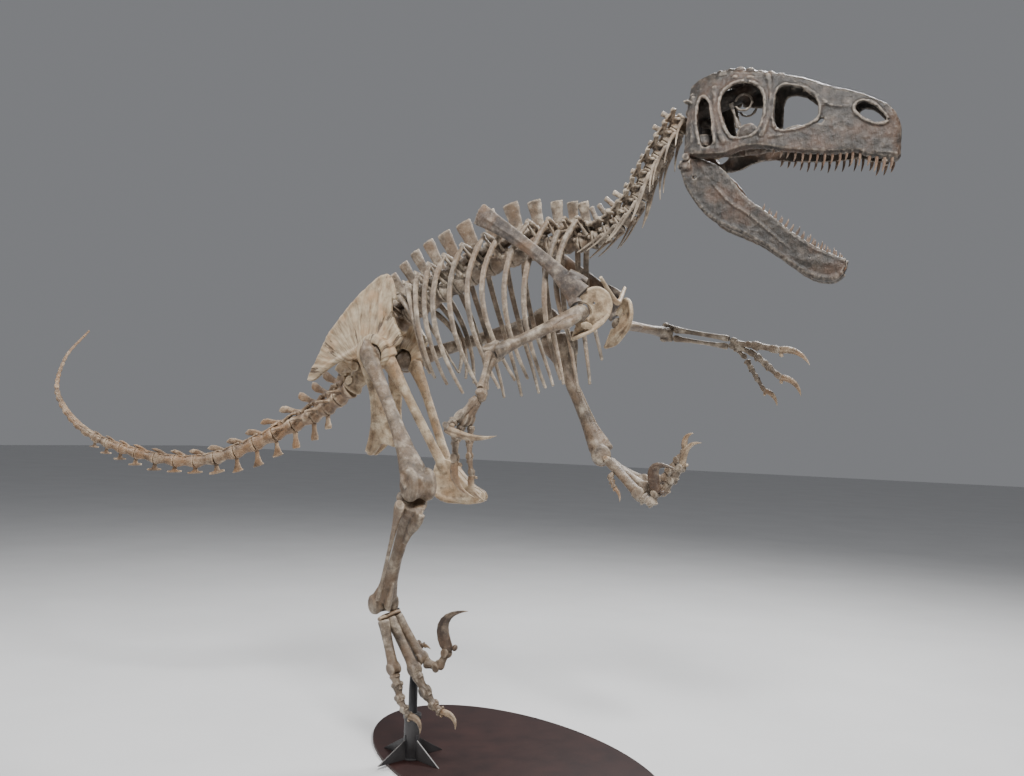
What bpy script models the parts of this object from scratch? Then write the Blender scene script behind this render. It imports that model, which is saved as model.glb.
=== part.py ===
"""Mounted skeleton of a large dromaeosaur, leaping, on an oval plate with one steel post.

Metres, +Z up.  The animal faces +X and its left side is +Y.  The frame's origin is the middle of
the oval plate's underside; the animal's midline plane stands beside it, at MIDLINE.
"""
import math

import bmesh
import bpy
import numpy as np
from mathutils import Matrix, Vector

for old in list(bpy.data.objects):
    bpy.data.objects.remove(old, do_unlink=True)

# ------------------------------------------------------------------ driving dimensions
MIDLINE = Vector((0.09, -0.13, 0.0))     # where the animal's own frame sits on the plate's frame
GAP = 0.0003                             # room left between pieces that bear on each other
JOINT_ROOM = 0.0015                      # cartilage space between two bones
WELD = 0.000005                          # points nearer than this are one point
FLAT = 0.02                              # radians, faces bent less than this are one face

# backbone, as points (x, z) in the midline plane, from the tail's root to the skull
SACRUM_REAR = (-0.725, 1.284)
SACRUM_FRONT = (-0.525, 1.518)
BACK = [SACRUM_REAR, SACRUM_FRONT, (-0.225, 1.689), (0.014, 1.769), (0.225, 1.794),
        (0.343, 1.878), (0.416, 2.013), (0.518, 2.166)]
DORSALS = 13
CERVICALS = 10
CAUDALS = 33
TAIL = [(-0.726, 0.0, 1.283), (-0.926, 0.0, 1.168), (-1.333, -0.115, 0.993), (-1.772, -0.205, 1.057),
        (-2.126, -0.115, 1.222), (-2.345, 0.085, 1.398), (-2.385, 0.245, 1.545)]
TAIL_LENGTHS = (9, 8, 8, 8)              # caudals in each of the tail's four lengths

# height of a dorsal's spine over its centrum, by its share of the way from the hips to the neck
SPINE_HEIGHTS = ((0.0, 0.162), (0.3, 0.204), (0.65, 0.190), (0.85, 0.148), (1.0, 0.134))
ARCH_SHARE = 0.42                        # a rib's root, as a share of the spine's height
RIB_PAIRS = 12
RIB_WIDEST = 0.200
RIB_LOW = 1.275
RIB_RISE = 0.075

HIP = Vector((-0.560, -0.100, 1.398))
HIP_SOCKET = 0.043
SHOULDER = Vector((0.250, -0.166, 1.530))
SKULL_WALL = 0.012                       # thickness of the skull's outer bones

PLATE_LONG = 0.715
PLATE_SHORT = 0.410
PLATE_THICK = 0.012
PLATE_TURN = -33.0                       # degrees, the long axis from +X
POST = Vector((-0.380, -0.050, 0.0))
POST_SLEEVE = 0.165                      # height of the wide lower sleeve
POST_TUBE_R = 0.0155
GUSSET_REACH = 0.145
GUSSET_HEIGHT = 0.083

Y = Vector((0.0, 1.0, 0.0))
Z = Vector((0.0, 0.0, 1.0))

# ------------------------------------------------------------------ collections and frame
model = bpy.data.collections.new("mounted_skeleton")
bpy.context.scene.collection.children.link(model)

frame = bpy.data.objects.new("animal_frame", None)
frame.location = MIDLINE
model.objects.link(frame)


def paint(name, colour, roughness, metallic=0.0):
    mat = bpy.data.materials.new(name)
    mat.use_nodes = True
    shader = mat.node_tree.nodes["Principled BSDF"]
    shader.inputs["Base Color"].default_value = (*colour, 1.0)
    shader.inputs["Roughness"].default_value = roughness
    shader.inputs["Metallic"].default_value = metallic
    return mat


TAN = paint("bone_tan", (0.42, 0.31, 0.20), 0.62)
DARK = paint("bone_dark", (0.15, 0.11, 0.085), 0.58)
CREAM = paint("bone_cream", (0.55, 0.45, 0.32), 0.65)
RUST = paint("bone_rust", (0.40, 0.25, 0.14), 0.62)
STEEL = paint("steel_black", (0.02, 0.02, 0.022), 0.35, 0.9)
MAROON = paint("plate_maroon", (0.055, 0.018, 0.014), 0.45)


# ------------------------------------------------------------------ curves in space
class Track:
    """A smooth line through a few points, measured along its length."""

    def __init__(self, points):
        pts = [Vector(p) if len(p) == 3 else Vector((p[0], 0.0, p[1])) for p in points]
        ext = [2 * pts[0] - pts[1]] + pts + [2 * pts[-1] - pts[-2]]
        line = []
        for i in range(1, len(ext) - 2):
            for k in range(24):
                t = k / 24
                p0, p1, p2, p3 = ext[i - 1:i + 3]
                line.append(0.5 * (2 * p1 + (p2 - p0) * t + (2 * p0 - 5 * p1 + 4 * p2 - p3) * t ** 2
                                   + (3 * p1 - p0 - 3 * p2 + p3) * t ** 3))
        line.append(pts[-1])
        self.xyz = np.array([tuple(p) for p in line])
        steps = np.linalg.norm(np.diff(self.xyz, axis=0), axis=1)
        self.s = np.concatenate([[0.0], np.cumsum(steps)])
        self.length = float(self.s[-1])

    def at(self, s):
        return Vector([float(np.interp(s, self.s, self.xyz[:, k])) for k in range(3)])

    def along(self, s):
        ahead = self.at(min(self.length, s + 0.01))
        behind = self.at(max(0.0, s - 0.01))
        return (ahead - behind).normalized()

    def near_x(self, x):
        return float(self.s[int(np.argmin(np.abs(self.xyz[:, 0] - x)))])


def square_to(direction, towards):
    out = towards - direction * towards.dot(direction)
    return out.normalized()


# ------------------------------------------------------------------ solids
def to_object(name, bm):
    bmesh.ops.recalc_face_normals(bm, faces=bm.faces)
    mesh = bpy.data.meshes.new(name)
    bm.to_mesh(mesh)
    bm.free()
    ob = bpy.data.objects.new(name, mesh)
    model.objects.link(ob)
    return ob


def rings_to_object(name, rings):
    """Loft through rings of equal count, closed at both ends."""
    bm = bmesh.new()
    loops = [[bm.verts.new(p) for p in ring] for ring in rings]
    count = len(loops[0])
    for a, b in zip(loops, loops[1:]):
        for k in range(count):
            bm.faces.new((a[k], a[(k + 1) % count], b[(k + 1) % count], b[k]))
    bmesh.ops.triangulate(bm, faces=bm.faces)
    bm.faces.new(loops[0][::-1])
    bm.faces.new(loops[-1])
    return to_object(name, bm)


def loft(name, centres, wide, deep, across, sides=8, first=0.5, along=None):
    """Oval sections along a line of centres: half-widths lie along across, half-depths square to it.

    first is where the first corner falls, in parts of one side: 0.5 lays flats on both axes.
    along holds the heading of each section, where the centres alone don't give it closely enough.
    """
    rings = []
    last = len(centres) - 1
    for i, c in enumerate(centres):
        t = along[i] if along else (centres[min(last, i + 1)] - centres[max(0, i - 1)]).normalized()
        u = square_to(t, across)
        v = t.cross(u)
        ring = []
        for k in range(sides):
            a = 2 * math.pi * (k + first) / sides
            ring.append(c + u * (wide[i] * math.cos(a)) + v * (deep[i] * math.sin(a)))
        rings.append(ring)
    return rings_to_object(name, rings)


def bone(name, a, b, across, profile, bow=Vector((0, 0, 0)), sides=8):
    """A long bone from a to b; profile rows are (fraction, half-width, half-depth)."""
    centres = [a.lerp(b, f) + bow * (4 * f * (1 - f)) for f, w, d in profile]
    return loft(name, centres, [r[1] for r in profile], [r[2] for r in profile], across, sides)


def drum(name, centre, axis, radius, half, sides=10):
    """A cylinder about an axis: condyles, joints, cutters."""
    bm = bmesh.new()
    bmesh.ops.create_cone(bm, cap_ends=True, segments=sides, radius1=radius, radius2=radius,
                          depth=2 * half)
    turn = axis.normalized().to_track_quat('Z', 'Y').to_matrix().to_4x4()
    bmesh.ops.transform(bm, matrix=Matrix.Translation(centre) @ turn, verts=bm.verts)
    return to_object(name, bm)


def ball(name, centre, radii, segments=8, rings=6):
    bm = bmesh.new()
    bmesh.ops.create_uvsphere(bm, u_segments=segments, v_segments=rings, radius=1.0)
    bmesh.ops.transform(bm, matrix=Matrix.Translation(centre) @ Matrix.Diagonal((*radii, 1.0)),
                        verts=bm.verts)
    return to_object(name, bm)


def block(name, centre, axes, halves):
    """A box with its own axes."""
    bm = bmesh.new()
    bmesh.ops.create_cube(bm, size=2.0)
    turn = Matrix([axes[0] * halves[0], axes[1] * halves[1], axes[2] * halves[2]]).transposed()
    bmesh.ops.transform(bm, matrix=Matrix.Translation(centre) @ turn.to_4x4(), verts=bm.verts)
    return to_object(name, bm)


def evaluated(ob, flat_faces=False):
    """Replace an object by its evaluated mesh, welded, where it stands; flat_faces splits warped ones."""
    graph = bpy.context.evaluated_depsgraph_get()
    graph.update()
    mesh = bpy.data.meshes.new_from_object(ob.evaluated_get(graph))
    bm = bmesh.new()
    bm.from_mesh(mesh)
    bmesh.ops.transform(bm, matrix=ob.matrix_world, verts=bm.verts)
    bmesh.ops.remove_doubles(bm, verts=bm.verts, dist=WELD)
    if flat_faces:
        bmesh.ops.triangulate(bm, faces=bm.faces, ngon_method='EAR_CLIP')
    name = ob.name
    bpy.data.objects.remove(ob, do_unlink=True)
    return to_object(name, bm)


def tube(name, points, radii, resolution=1):
    """A round rod: a POLY curve with bevel depth and filled caps, made into a mesh."""
    curve = bpy.data.curves.new(name, 'CURVE')
    curve.dimensions = '3D'
    curve.bevel_depth = 1.0
    curve.bevel_resolution = resolution
    curve.use_fill_caps = True
    spline = curve.splines.new('POLY')
    spline.points.add(len(points) - 1)
    for p, xyz, r in zip(spline.points, points, radii):
        p.co = (*xyz, 1.0)
        p.radius = r
    ob = bpy.data.objects.new(name, curve)
    model.objects.link(ob)
    bpy.context.view_layer.update()
    return evaluated(ob, True)


def sheet(name, outline, half, y_of):
    """A flat outline (x, z) as a filled 2D curve, thickened, then laid at y = y_of(x, z)."""
    curve = bpy.data.curves.new(name, 'CURVE')
    curve.dimensions = '2D'
    curve.fill_mode = 'BOTH'
    curve.extrude = half
    spline = curve.splines.new('POLY')
    spline.points.add(len(outline) - 1)
    for p, xz in zip(spline.points, outline):
        p.co = (xz[0], xz[1], 0.0, 1.0)
    spline.use_cyclic_u = True
    ob = bpy.data.objects.new(name, curve)
    ob.rotation_euler = (math.pi / 2, 0.0, 0.0)
    model.objects.link(ob)
    bpy.context.view_layer.update()
    ob = evaluated(ob, True)
    for v in ob.data.vertices:
        v.co.y += y_of(v.co.x, v.co.z)
    return ob


def boolean(ob, others, operation):
    """Join others to ob, or cut them from it, one exact Boolean after another."""
    for other in others:
        mod = ob.modifiers.new("boolean", 'BOOLEAN')
        mod.operation = operation
        mod.solver = 'EXACT'
        mod.object = other
        bpy.context.view_layer.update()
        ob = evaluated(ob)
        bpy.data.objects.remove(other, do_unlink=True)
    return ob


def fuse(name, parts):
    """One body out of several that overlap."""
    parts[0].name = name
    return boolean(parts[0], parts[1:], 'UNION')


def cut(ob, tools):
    return boolean(ob, tools, 'DIFFERENCE')


def grown(ob, room):
    """A copy swollen by the given room, used to keep a neighbour clear of it."""
    bm = bmesh.new()
    bm.from_mesh(ob.data)
    bm.normal_update()
    moved = [v.co + v.normal * (room * max(1.0, v.calc_shell_factor())) for v in bm.verts]
    for v, co in zip(bm.verts, moved):
        v.co = co
    return to_object(ob.name + "_room", bm)


def clear_of(ob, neighbours, room=GAP):
    return cut(ob, [grown(n, room) for n in neighbours])


def finish(ob, material):
    """Merge faces that lie in one plane, then give the piece its material and its frame."""
    bm = bmesh.new()
    bm.from_mesh(ob.data)
    bmesh.ops.dissolve_limit(bm, angle_limit=FLAT, verts=bm.verts, edges=bm.edges)
    bm.to_mesh(ob.data)
    bm.free()
    ob.data.materials.clear()
    ob.data.materials.append(material)
    ob.parent = frame
    return ob


def mirrored(ob, name):
    """The other side's twin, across the midline plane."""
    bm = bmesh.new()
    bm.from_mesh(ob.data)
    bmesh.ops.transform(bm, matrix=Matrix.Scale(-1.0, 4, Y), verts=bm.verts)
    return to_object(name, bm)


# ------------------------------------------------------------------ stand
def make_stand():
    turn = math.radians(PLATE_TURN)
    bm = bmesh.new()
    bmesh.ops.create_cone(bm, cap_ends=True, segments=40, radius1=1.0, radius2=1.0, depth=1.0)
    bmesh.ops.transform(bm, matrix=Matrix.Rotation(turn, 4, 'Z')
                        @ Matrix.Diagonal((PLATE_LONG, PLATE_SHORT, PLATE_THICK, 1.0))
                        @ Matrix.Translation((0, 0, 0.5)), verts=bm.verts)
    plate = to_object("stand_plate", bm)

    foot = POST + Z * (PLATE_THICK + GAP)
    neck = POST + Z * POST_SLEEVE
    sleeve = tube("stand_post", [foot, neck - Z * 0.012, neck], [0.027, 0.027, 0.024], 2)
    collar = drum("collar", neck - Z * 0.008, Z, 0.031, 0.007, 10)
    path = Track([POST + Z * 0.10, POST + Z * 0.24, Vector((-0.395, -0.028, 0.33)),
                  Vector((-0.440, -0.022, 0.44)), Vector((-0.472, -0.034, 0.512))])
    stops = [path.length * k / 7 for k in range(8)]
    rise = tube("rise", [path.at(s) for s in stops],
                [POST_TUBE_R if s < 0.6 * path.length else 0.011 for s in stops], 1)
    parts = [sleeve, collar, rise]
    for k in range(4):
        a = math.radians(-18 + 90 * k)
        out = Vector((math.cos(a), math.sin(a), 0.0))
        side = Vector((-out.y, out.x, 0.0))
        reach = foot + out * GUSSET_REACH
        rings = [[foot + side * s * 0.003 + Z * z for s, z in ((-1, 0), (1, 0), (1, GUSSET_HEIGHT),
                                                               (-1, GUSSET_HEIGHT))],
                 [reach + side * s * 0.003 + Z * z for s, z in ((-1, 0), (1, 0), (1, 0.006),
                                                                (-1, 0.006))]]
        parts.append(rings_to_object("gusset", rings))
    post = fuse("stand_post", parts)
    return plate, post


# ------------------------------------------------------------------ backbone
spine_line = Track(BACK)
S_SACRUM = spine_line.near_x(SACRUM_FRONT[0])
S_NECK = spine_line.near_x(0.222)
tail_line = Track(TAIL)


def dorsal_length(j):
    """Relative length of a dorsal, counted from the hips: the middle ones are longest."""
    return 0.80 + 0.50 * math.exp(-((j - 6.8) / 2.6) ** 2)


def caudal_length(i):
    """Relative length of a caudal: short at the root, long, then shorter towards the tip."""
    if i < 3:
        return 0.80
    return 1.0 if i < 12 else 0.84 - 0.38 * (i - 12) / (CAUDALS - 13)


def caudal_radius(i):
    """Half height of the rims after i caudals: the tail thins fast at first."""
    return 0.005 + 0.031 * (1 - i / CAUDALS) ** 1.4


def joints_along(start, stop, lengths):
    """Where the joints between vertebrae fall, from start to stop along a line."""
    share = (stop - start) / sum(lengths)
    return [start + share * sum(lengths[:k]) for k in range(len(lengths) + 1)]


def centra(name, line, joints, r_start, r_stop, sides=8, waist=0.72):
    """A row of spool-shaped centra as one body: wide at the rims, narrow between."""
    centres, headings, radii = [], [], []
    count = len(joints) - 1
    for i in range(2 * count + 1):
        f = i / (2 * count)
        s = (joints[i // 2] + joints[(i + 1) // 2]) / 2
        centres.append(line.at(s))
        headings.append(line.along(s))
        r = r_start + (r_stop - r_start) * f
        radii.append(r if i % 2 == 0 else r * waist)
    return loft(name, centres, radii, radii, Y, sides, 0.0, headings)


def blade(name, foot, up, along, rows):
    """A neural spine or chevron: rows are (height, reach ahead, reach behind, half-thickness)."""
    side = up.cross(along).normalized()
    rings = []
    for h, ahead, behind, thick in rows:
        p = foot + up * h
        rings.append([p + along * ahead + side * thick, p - along * behind + side * thick,
                      p - along * behind - side * thick, p + along * ahead - side * thick])
    return rings_to_object(name, rings)


def rib_path(k, start, side=-1):
    """Points of rib k, counted from the neck: out from the backbone, down and forward."""
    end_x = 0.225 - 0.0514 * (k - 1)
    end_z = RIB_LOW + RIB_RISE * ((k - 7) / 5) ** 2
    widest = RIB_WIDEST - 0.0018 * (k - 6.5) ** 2
    sweep = -0.10 * math.sin(math.pi * (k - 0.5) / RIB_PAIRS)
    points = [Vector((start.x, 0.0, start.z)) + Y * side * 0.001]
    for t in (0.10, 0.48, 1.0):
        out = widest * math.sin(math.pi * (0.085 + 0.655 * t)) ** 0.75
        x = start.x + (end_x - start.x) * t + sweep * math.sin(math.pi * t ** 0.85)
        z = start.z + 0.012 + (end_z - start.z - 0.012) * t
        points.append(Vector((x, side * out, z)))
    return points


def make_ribcage():
    joints = joints_along(S_SACRUM + 0.0005, S_NECK - GAP, [dorsal_length(j) for j in range(DORSALS)])
    parts = [centra("ribcage_right", spine_line, joints, 0.036, 0.030, 6)]
    for j in range(DORSALS):
        k = DORSALS - j                                  # dorsal number counted from the neck
        s = (joints[j] + joints[j + 1]) / 2
        c, t = spine_line.at(s), spine_line.along(s)
        up = square_to(t, Z)
        high = float(np.interp(j / (DORSALS - 1), *zip(*SPINE_HEIGHTS)))
        wide = 0.36 * (joints[j + 1] - joints[j])
        parts.append(blade("spine", c, (up - t * 0.06).normalized(), t,
                           ((0.010, wide * 0.85, wide * 0.95, 0.010), (high, wide, wide * 1.05, 0.008))))
        arch = c + up * (high * ARCH_SHARE) + t * 0.001
        if k <= RIB_PAIRS:
            path = rib_path(k, arch)
            wide = [0.014, 0.013, 0.0105, 0.006]
            parts.append(loft("rib", path, wide, [w * 0.62 for w in wide], t, 4))
        else:
            parts.append(block("process", arch, (t, Y, up), (0.012, 0.060, 0.009)))
    whole = fuse("ribcage_right", parts)
    half_space = block("half_space", Vector((0, 1.0 - GAP / 2, 1.6)), (Vector((1, 0, 0)), Y, Z),
                       (2.0, 1.0, 1.0))
    right = cut(whole, [half_space])
    left = mirrored(right, "ribcage_left")
    return right, left


def make_neck():
    nodes = []
    total = spine_line.length - S_NECK
    step = total / CERVICALS
    for name, first in (("neck_rear", 0), ("neck_front", CERVICALS // 2)):
        start = S_NECK + step * first + GAP
        stop = S_NECK + step * (first + CERVICALS // 2) - GAP
        joints = joints_along(start, stop, [1.0] * (CERVICALS // 2))
        parts = [centra(name, spine_line, joints, 0.031 - 0.0012 * first, 0.027 - 0.0008 * first,
                        6, 0.80)]
        for j in range(CERVICALS // 2):
            s = S_NECK + step * (first + j + 0.5)
            c, t = spine_line.at(s), spine_line.along(s)
            up = square_to(t, Vector((-0.55, 0.0, 0.83)))
            f = (first + j) / (CERVICALS - 1)
            high = 0.125 - 0.062 * f if f < 0.7 else 0.074 + 0.02 * (f - 0.7)
            parts.append(blade("arch", c, up, t,
                               ((0.014, 0.019, 0.020, 0.046 - 0.010 * f), (0.050, 0.016, 0.017, 0.014),
                                (high, 0.009, 0.012, 0.008))))
            if j % 2 == 0:
                for side in (-1, 1):
                    head = c + Y * side * 0.010 - up * 0.008
                    reach = min(0.17, s - S_NECK + 0.06)
                    end = spine_line.at(max(S_NECK - 0.03, s - reach))
                    end = end + Y * side * 0.052 - up * 0.048
                    parts.append(loft("cervical_rib", [head, end], [0.009, 0.003], [0.007, 0.003], up, 4))
        nodes.append(fuse(name, parts))
    return nodes


def make_tail():
    nodes = []
    marks = joints_along(0.0, tail_line.length, [caudal_length(i) for i in range(CAUDALS)])
    first = 0
    for n, count in enumerate(TAIL_LENGTHS):
        name = "tail_%d" % (n + 1)
        joints = marks[first:first + count + 1]
        joints[0] += GAP
        joints[-1] -= GAP
        parts = [centra(name, tail_line, joints, caudal_radius(first), caudal_radius(first + count), 6, 0.74)]
        for j in range(count):
            i = first + j
            f = i / CAUDALS
            long = marks[i + 1] - marks[i]
            s = 0.48 * marks[i] + 0.52 * marks[i + 1]
            c, t = tail_line.at(s), -tail_line.along(s)
            up = square_to(t, Z)
            if i < 15:
                high = max(0.034, 0.128 * 0.88 ** i)
                parts.append(blade("spine", c + t * 0.010, (up - t * 0.80).normalized(), t,
                                   ((0.006, 0.015, 0.010, 0.007), (high, 0.014, 0.014, 0.005))))
            if i < 6:
                reach = 0.085 - 0.120 * f
                parts.append(block("process", c + up * 0.006, (t, Y, up), (0.012, reach, 0.006)))
            if 1 <= i < 15:
                low = max(0.046, 0.098 - 0.0055 * i)
                foot = min(0.008 + 0.0040 * i, 0.036 - 0.0018 * max(0, i - 8), long * 0.40)
                root = tail_line.at(marks[i + 1] - 0.012)
                parts.append(blade("chevron", root, (-up - t * 0.30).normalized(), t,
                                   ((0.002, 0.008, 0.008, 0.007), (low * 0.6, 0.008, 0.008, 0.005),
                                    (low, foot * 0.8, foot, 0.004))))
        nodes.append(fuse(name, parts))
        first += count
    return nodes


# ------------------------------------------------------------------ hips
def hip_lean(x, z):
    """The hip plates lean in a little towards their tops."""
    return -0.086 + 0.05 * max(0.0, z - 1.45) - 0.02 * max(0.0, x + 0.60)


def make_hips():
    socket = drum("socket", Vector((HIP.x, -0.10, HIP.z)), Y, HIP_SOCKET, 0.08, 8)
    outline = [(-0.858, 1.311), (-0.821, 1.389), (-0.768, 1.492), (-0.631, 1.635), (-0.552, 1.690),
               (-0.518, 1.652), (-0.508, 1.560), (-0.462, 1.475), (-0.474, 1.440), (-0.600, 1.400),
               (-0.640, 1.388), (-0.700, 1.385), (-0.770, 1.352)]
    blade_r = sheet("ilium_right", outline, 0.011, hip_lean)
    rim = drum("rim", Vector((HIP.x, -0.100, HIP.z + 0.006)), Y, HIP_SOCKET + 0.020, 0.026, 8)
    below = block("below", Vector((HIP.x, -0.10, HIP.z - 0.075)), (Vector((1, 0, 0)), Y, Z), (0.2, 0.1, 0.07))
    ilium = cut(fuse("ilium_right", [blade_r, rim]), [socket, below])

    top = Vector((-0.516, -0.088, 1.388))
    low = Vector((-0.283, -0.016, 0.975))
    rows = [(0.0, 0.030, 0.018), (0.25, 0.018, 0.014), (0.6, 0.017, 0.013), (1.0, 0.030, 0.015)]
    shaft = bone("pubis_right", top, low, Vector((1, 0, 0.3)), rows, Vector((0.012, 0, 0)), 6)
    boot = sheet("boot", [(-0.332, 1.020), (-0.361, 0.940), (-0.330, 0.912), (-0.263, 0.896),
                          (-0.200, 0.893), (-0.157, 0.908), (-0.165, 0.937), (-0.215, 0.965),
                          (-0.262, 1.020)], 0.013, lambda x, z: -0.0165)
    socket = drum("socket", Vector((HIP.x, -0.10, HIP.z)), Y, HIP_SOCKET, 0.08, 8)
    midline = block("midline", Vector((0, 0.5 - GAP, 1.2)), (Vector((1, 0, 0)), Y, Z), (1.0, 0.5, 0.5))
    pubis = cut(fuse("pubis_right", [shaft, boot]), [socket, midline])

    isch = [(-0.628, 1.385), (-0.600, 1.330), (-0.588, 1.240), (-0.596, 1.160), (-0.634, 1.062),
            (-0.616, 1.045), (-0.560, 1.085), (-0.500, 1.075), (-0.540, 1.250), (-0.552, 1.360),
            (-0.580, 1.385)]
    ischium = sheet("ischium_right", isch, 0.007, lambda x, z: -0.088 + 0.22 * max(0.0, 1.385 - z))
    knob = bone("knob", Vector((-0.610, -0.088, 1.375)), Vector((-0.580, -0.078, 1.30)),
                Vector((1, 0, 0)), [(0, 0.026, 0.017), (0.6, 0.022, 0.013), (1, 0.016, 0.009)],
                sides=6)
    socket = drum("socket", Vector((HIP.x, -0.10, HIP.z)), Y, HIP_SOCKET, 0.08, 8)
    ischium = cut(fuse("ischium_right", [ischium, knob]), [socket])
    ischium = clear_of(ischium, [ilium, pubis], JOINT_ROOM)
    pubis = clear_of(pubis, [ilium], JOINT_ROOM)

    length = S_SACRUM
    parts = [centra("sacrum", spine_line, joints_along(GAP, length - GAP, [1.0] * 3), 0.038, 0.037, 6, 0.86)]
    for k in range(3):
        s = length * (k + 0.6) / 3.2
        c, t = spine_line.at(s), spine_line.along(s)
        up = square_to(t, Z)
        parts.append(block("sacral_rib", c + up * 0.004, (t, Y, up), (0.020, 0.072, 0.018)))
    c0, c1 = spine_line.at(0.03), spine_line.at(length - 0.02)
    t = (c1 - c0).normalized()
    up = square_to(t, Z)
    mid = (c0 + c1) / 2
    parts.append(blade("crest", mid, up, t, ((0.010, 0.13, 0.12, 0.008), (0.115, 0.11, 0.11, 0.007))))
    sacrum = fuse("sacrum", parts)
    il_left = mirrored(ilium, "ilium_left")
    sacrum = clear_of(sacrum, [ilium, il_left], GAP)
    return [ilium, il_left, pubis, mirrored(pubis, "pubis_left"), ischium,
            mirrored(ischium, "ischium_left"), sacrum]


# ------------------------------------------------------------------ legs
def digit(name, joints, radius, tip, bulge, height, thick, across):
    """A finger or toe: phalanges wide at their joints, then the claw, deep at its base and hooked."""
    centres, wide, deep = [], [], []
    r = radius
    for a, b in zip(joints, joints[1:]):
        centres += [a.lerp(b, 0.08), a.lerp(b, 0.55)]
        wide += [r, r * 0.66]
        deep += [r, r * 0.66]
        r *= 0.88
    base = joints[-1]
    centres.append(base.lerp(joints[-2], 0.10))
    wide.append(r * 0.95)
    deep.append(r * 0.95)
    for f, size in ((0.06, 1.0), (0.38, 0.82), (0.72, 0.46), (1.0, 0.06)):
        centres.append(base.lerp(tip, f) + bulge * (4 * f * (1 - f)))
        wide.append(thick * size)
        deep.append(height * size)
    return loft(name, centres, wide, deep, across, 4)


def make_leg(side, tag, knee, ankle, mt_tops, mt_ends, toes):
    hip = Vector((HIP.x, side * abs(HIP.y), HIP.z))
    out = Vector((0, side, 0))
    thigh = (knee - hip).normalized()
    shin = (ankle - knee).normalized()
    hinge = thigh.cross(shin).normalized()
    if hinge.y * side < 0:
        hinge = -hinge
    r_knee, r_ankle = 0.056, 0.036

    top = hip + out * 0.050 - thigh * 0.035
    rows = [(0.0, 0.032, 0.022), (0.05, 0.042, 0.027), (0.22, 0.030, 0.027), (0.60, 0.028, 0.028),
            (0.93, 0.044, 0.046)]
    fore = square_to(thigh, hinge.cross(thigh))
    shaft = bone("femur_" + tag, top, knee, fore, rows, fore * 0.012 * -side, 7)
    condyle = drum("condyle", knee - hinge * 0.003, hinge, r_knee, 0.047, 10)
    neck = loft("neck", [hip + out * 0.058, hip + out * 0.024, hip - out * 0.012, hip - out * 0.026],
                [0.028, 0.031, 0.038, 0.022], [0.026, 0.029, 0.038, 0.022], thigh, 6)
    femur = fuse("femur_" + tag, [shaft, condyle, neck])

    plateau = knee + shin * (r_knee + JOINT_ROOM)
    end = ankle - shin * 0.004
    crest = square_to(shin, -thigh + shin * thigh.dot(shin))
    if crest.dot(thigh) < 0:
        crest = -crest
    rows = [(0.0, 0.060, 0.046), (0.06, 0.060, 0.046), (0.20, 0.034, 0.030), (0.55, 0.023, 0.024),
            (0.86, 0.030, 0.036), (0.96, 0.034, 0.046)]
    body = bone("tibia_" + tag, plateau, end, crest, rows, sides=7)
    ridge = bone("ridge", plateau + crest * 0.058 + shin * 0.004, plateau + crest * 0.028 + shin * 0.13,
                 crest, [(0, 0.026, 0.014), (0.4, 0.024, 0.012), (1, 0.010, 0.010)], sides=6)
    foot = drum("ankle", ankle, hinge, r_ankle, 0.048, 10)
    tibia = fuse("tibia_" + tag, [body, ridge, foot])

    fib_out = square_to(shin, out * 1.0)
    fib_top = plateau + fib_out * 0.062 - crest * 0.012 + shin * 0.004
    fib_low = ankle - shin * 0.055 + fib_out * 0.056 + crest * 0.012
    rows = [(0.0, 0.030, 0.010), (0.05, 0.032, 0.011), (0.18, 0.016, 0.009), (0.4, 0.009, 0.007),
            (0.85, 0.007, 0.006), (1.0, 0.010, 0.008)]
    fibula = bone("fibula_" + tag, fib_top, fib_low, crest, rows, sides=6)
    fibula = clear_of(fibula, [tibia, femur], GAP)

    foot_dir = (mt_ends[1] - ankle).normalized()
    start = ankle + foot_dir * (r_ankle + JOINT_ROOM + 0.010)
    spread = square_to(foot_dir, hinge)
    parts = []
    for k, (m_top, m_end) in enumerate(zip(mt_tops, mt_ends)):
        a = start + spread * m_top
        rows = [(0.0, 0.021, 0.025), (0.45, 0.0135, 0.015), (1.0, 0.018, 0.019)]
        parts.append(bone("metatarsus_" + tag, a, m_end, spread, rows, sides=5))
    parts.append(block("tarsal_cap", start, (foot_dir, spread, foot_dir.cross(spread)),
                       (0.010, 0.046, 0.026)))
    metatarsus = fuse("metatarsus_" + tag, parts)
    nodes = [femur, tibia, fibula, metatarsus]
    for n, (joints, radius, tip, bulge, height, thick) in enumerate(toes):
        nodes.append(digit("toe_%d_%s" % (n + 1, tag), joints, radius, tip, bulge, height, thick, spread))
    return nodes


def V(*xyz):
    return Vector(xyz)


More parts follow.
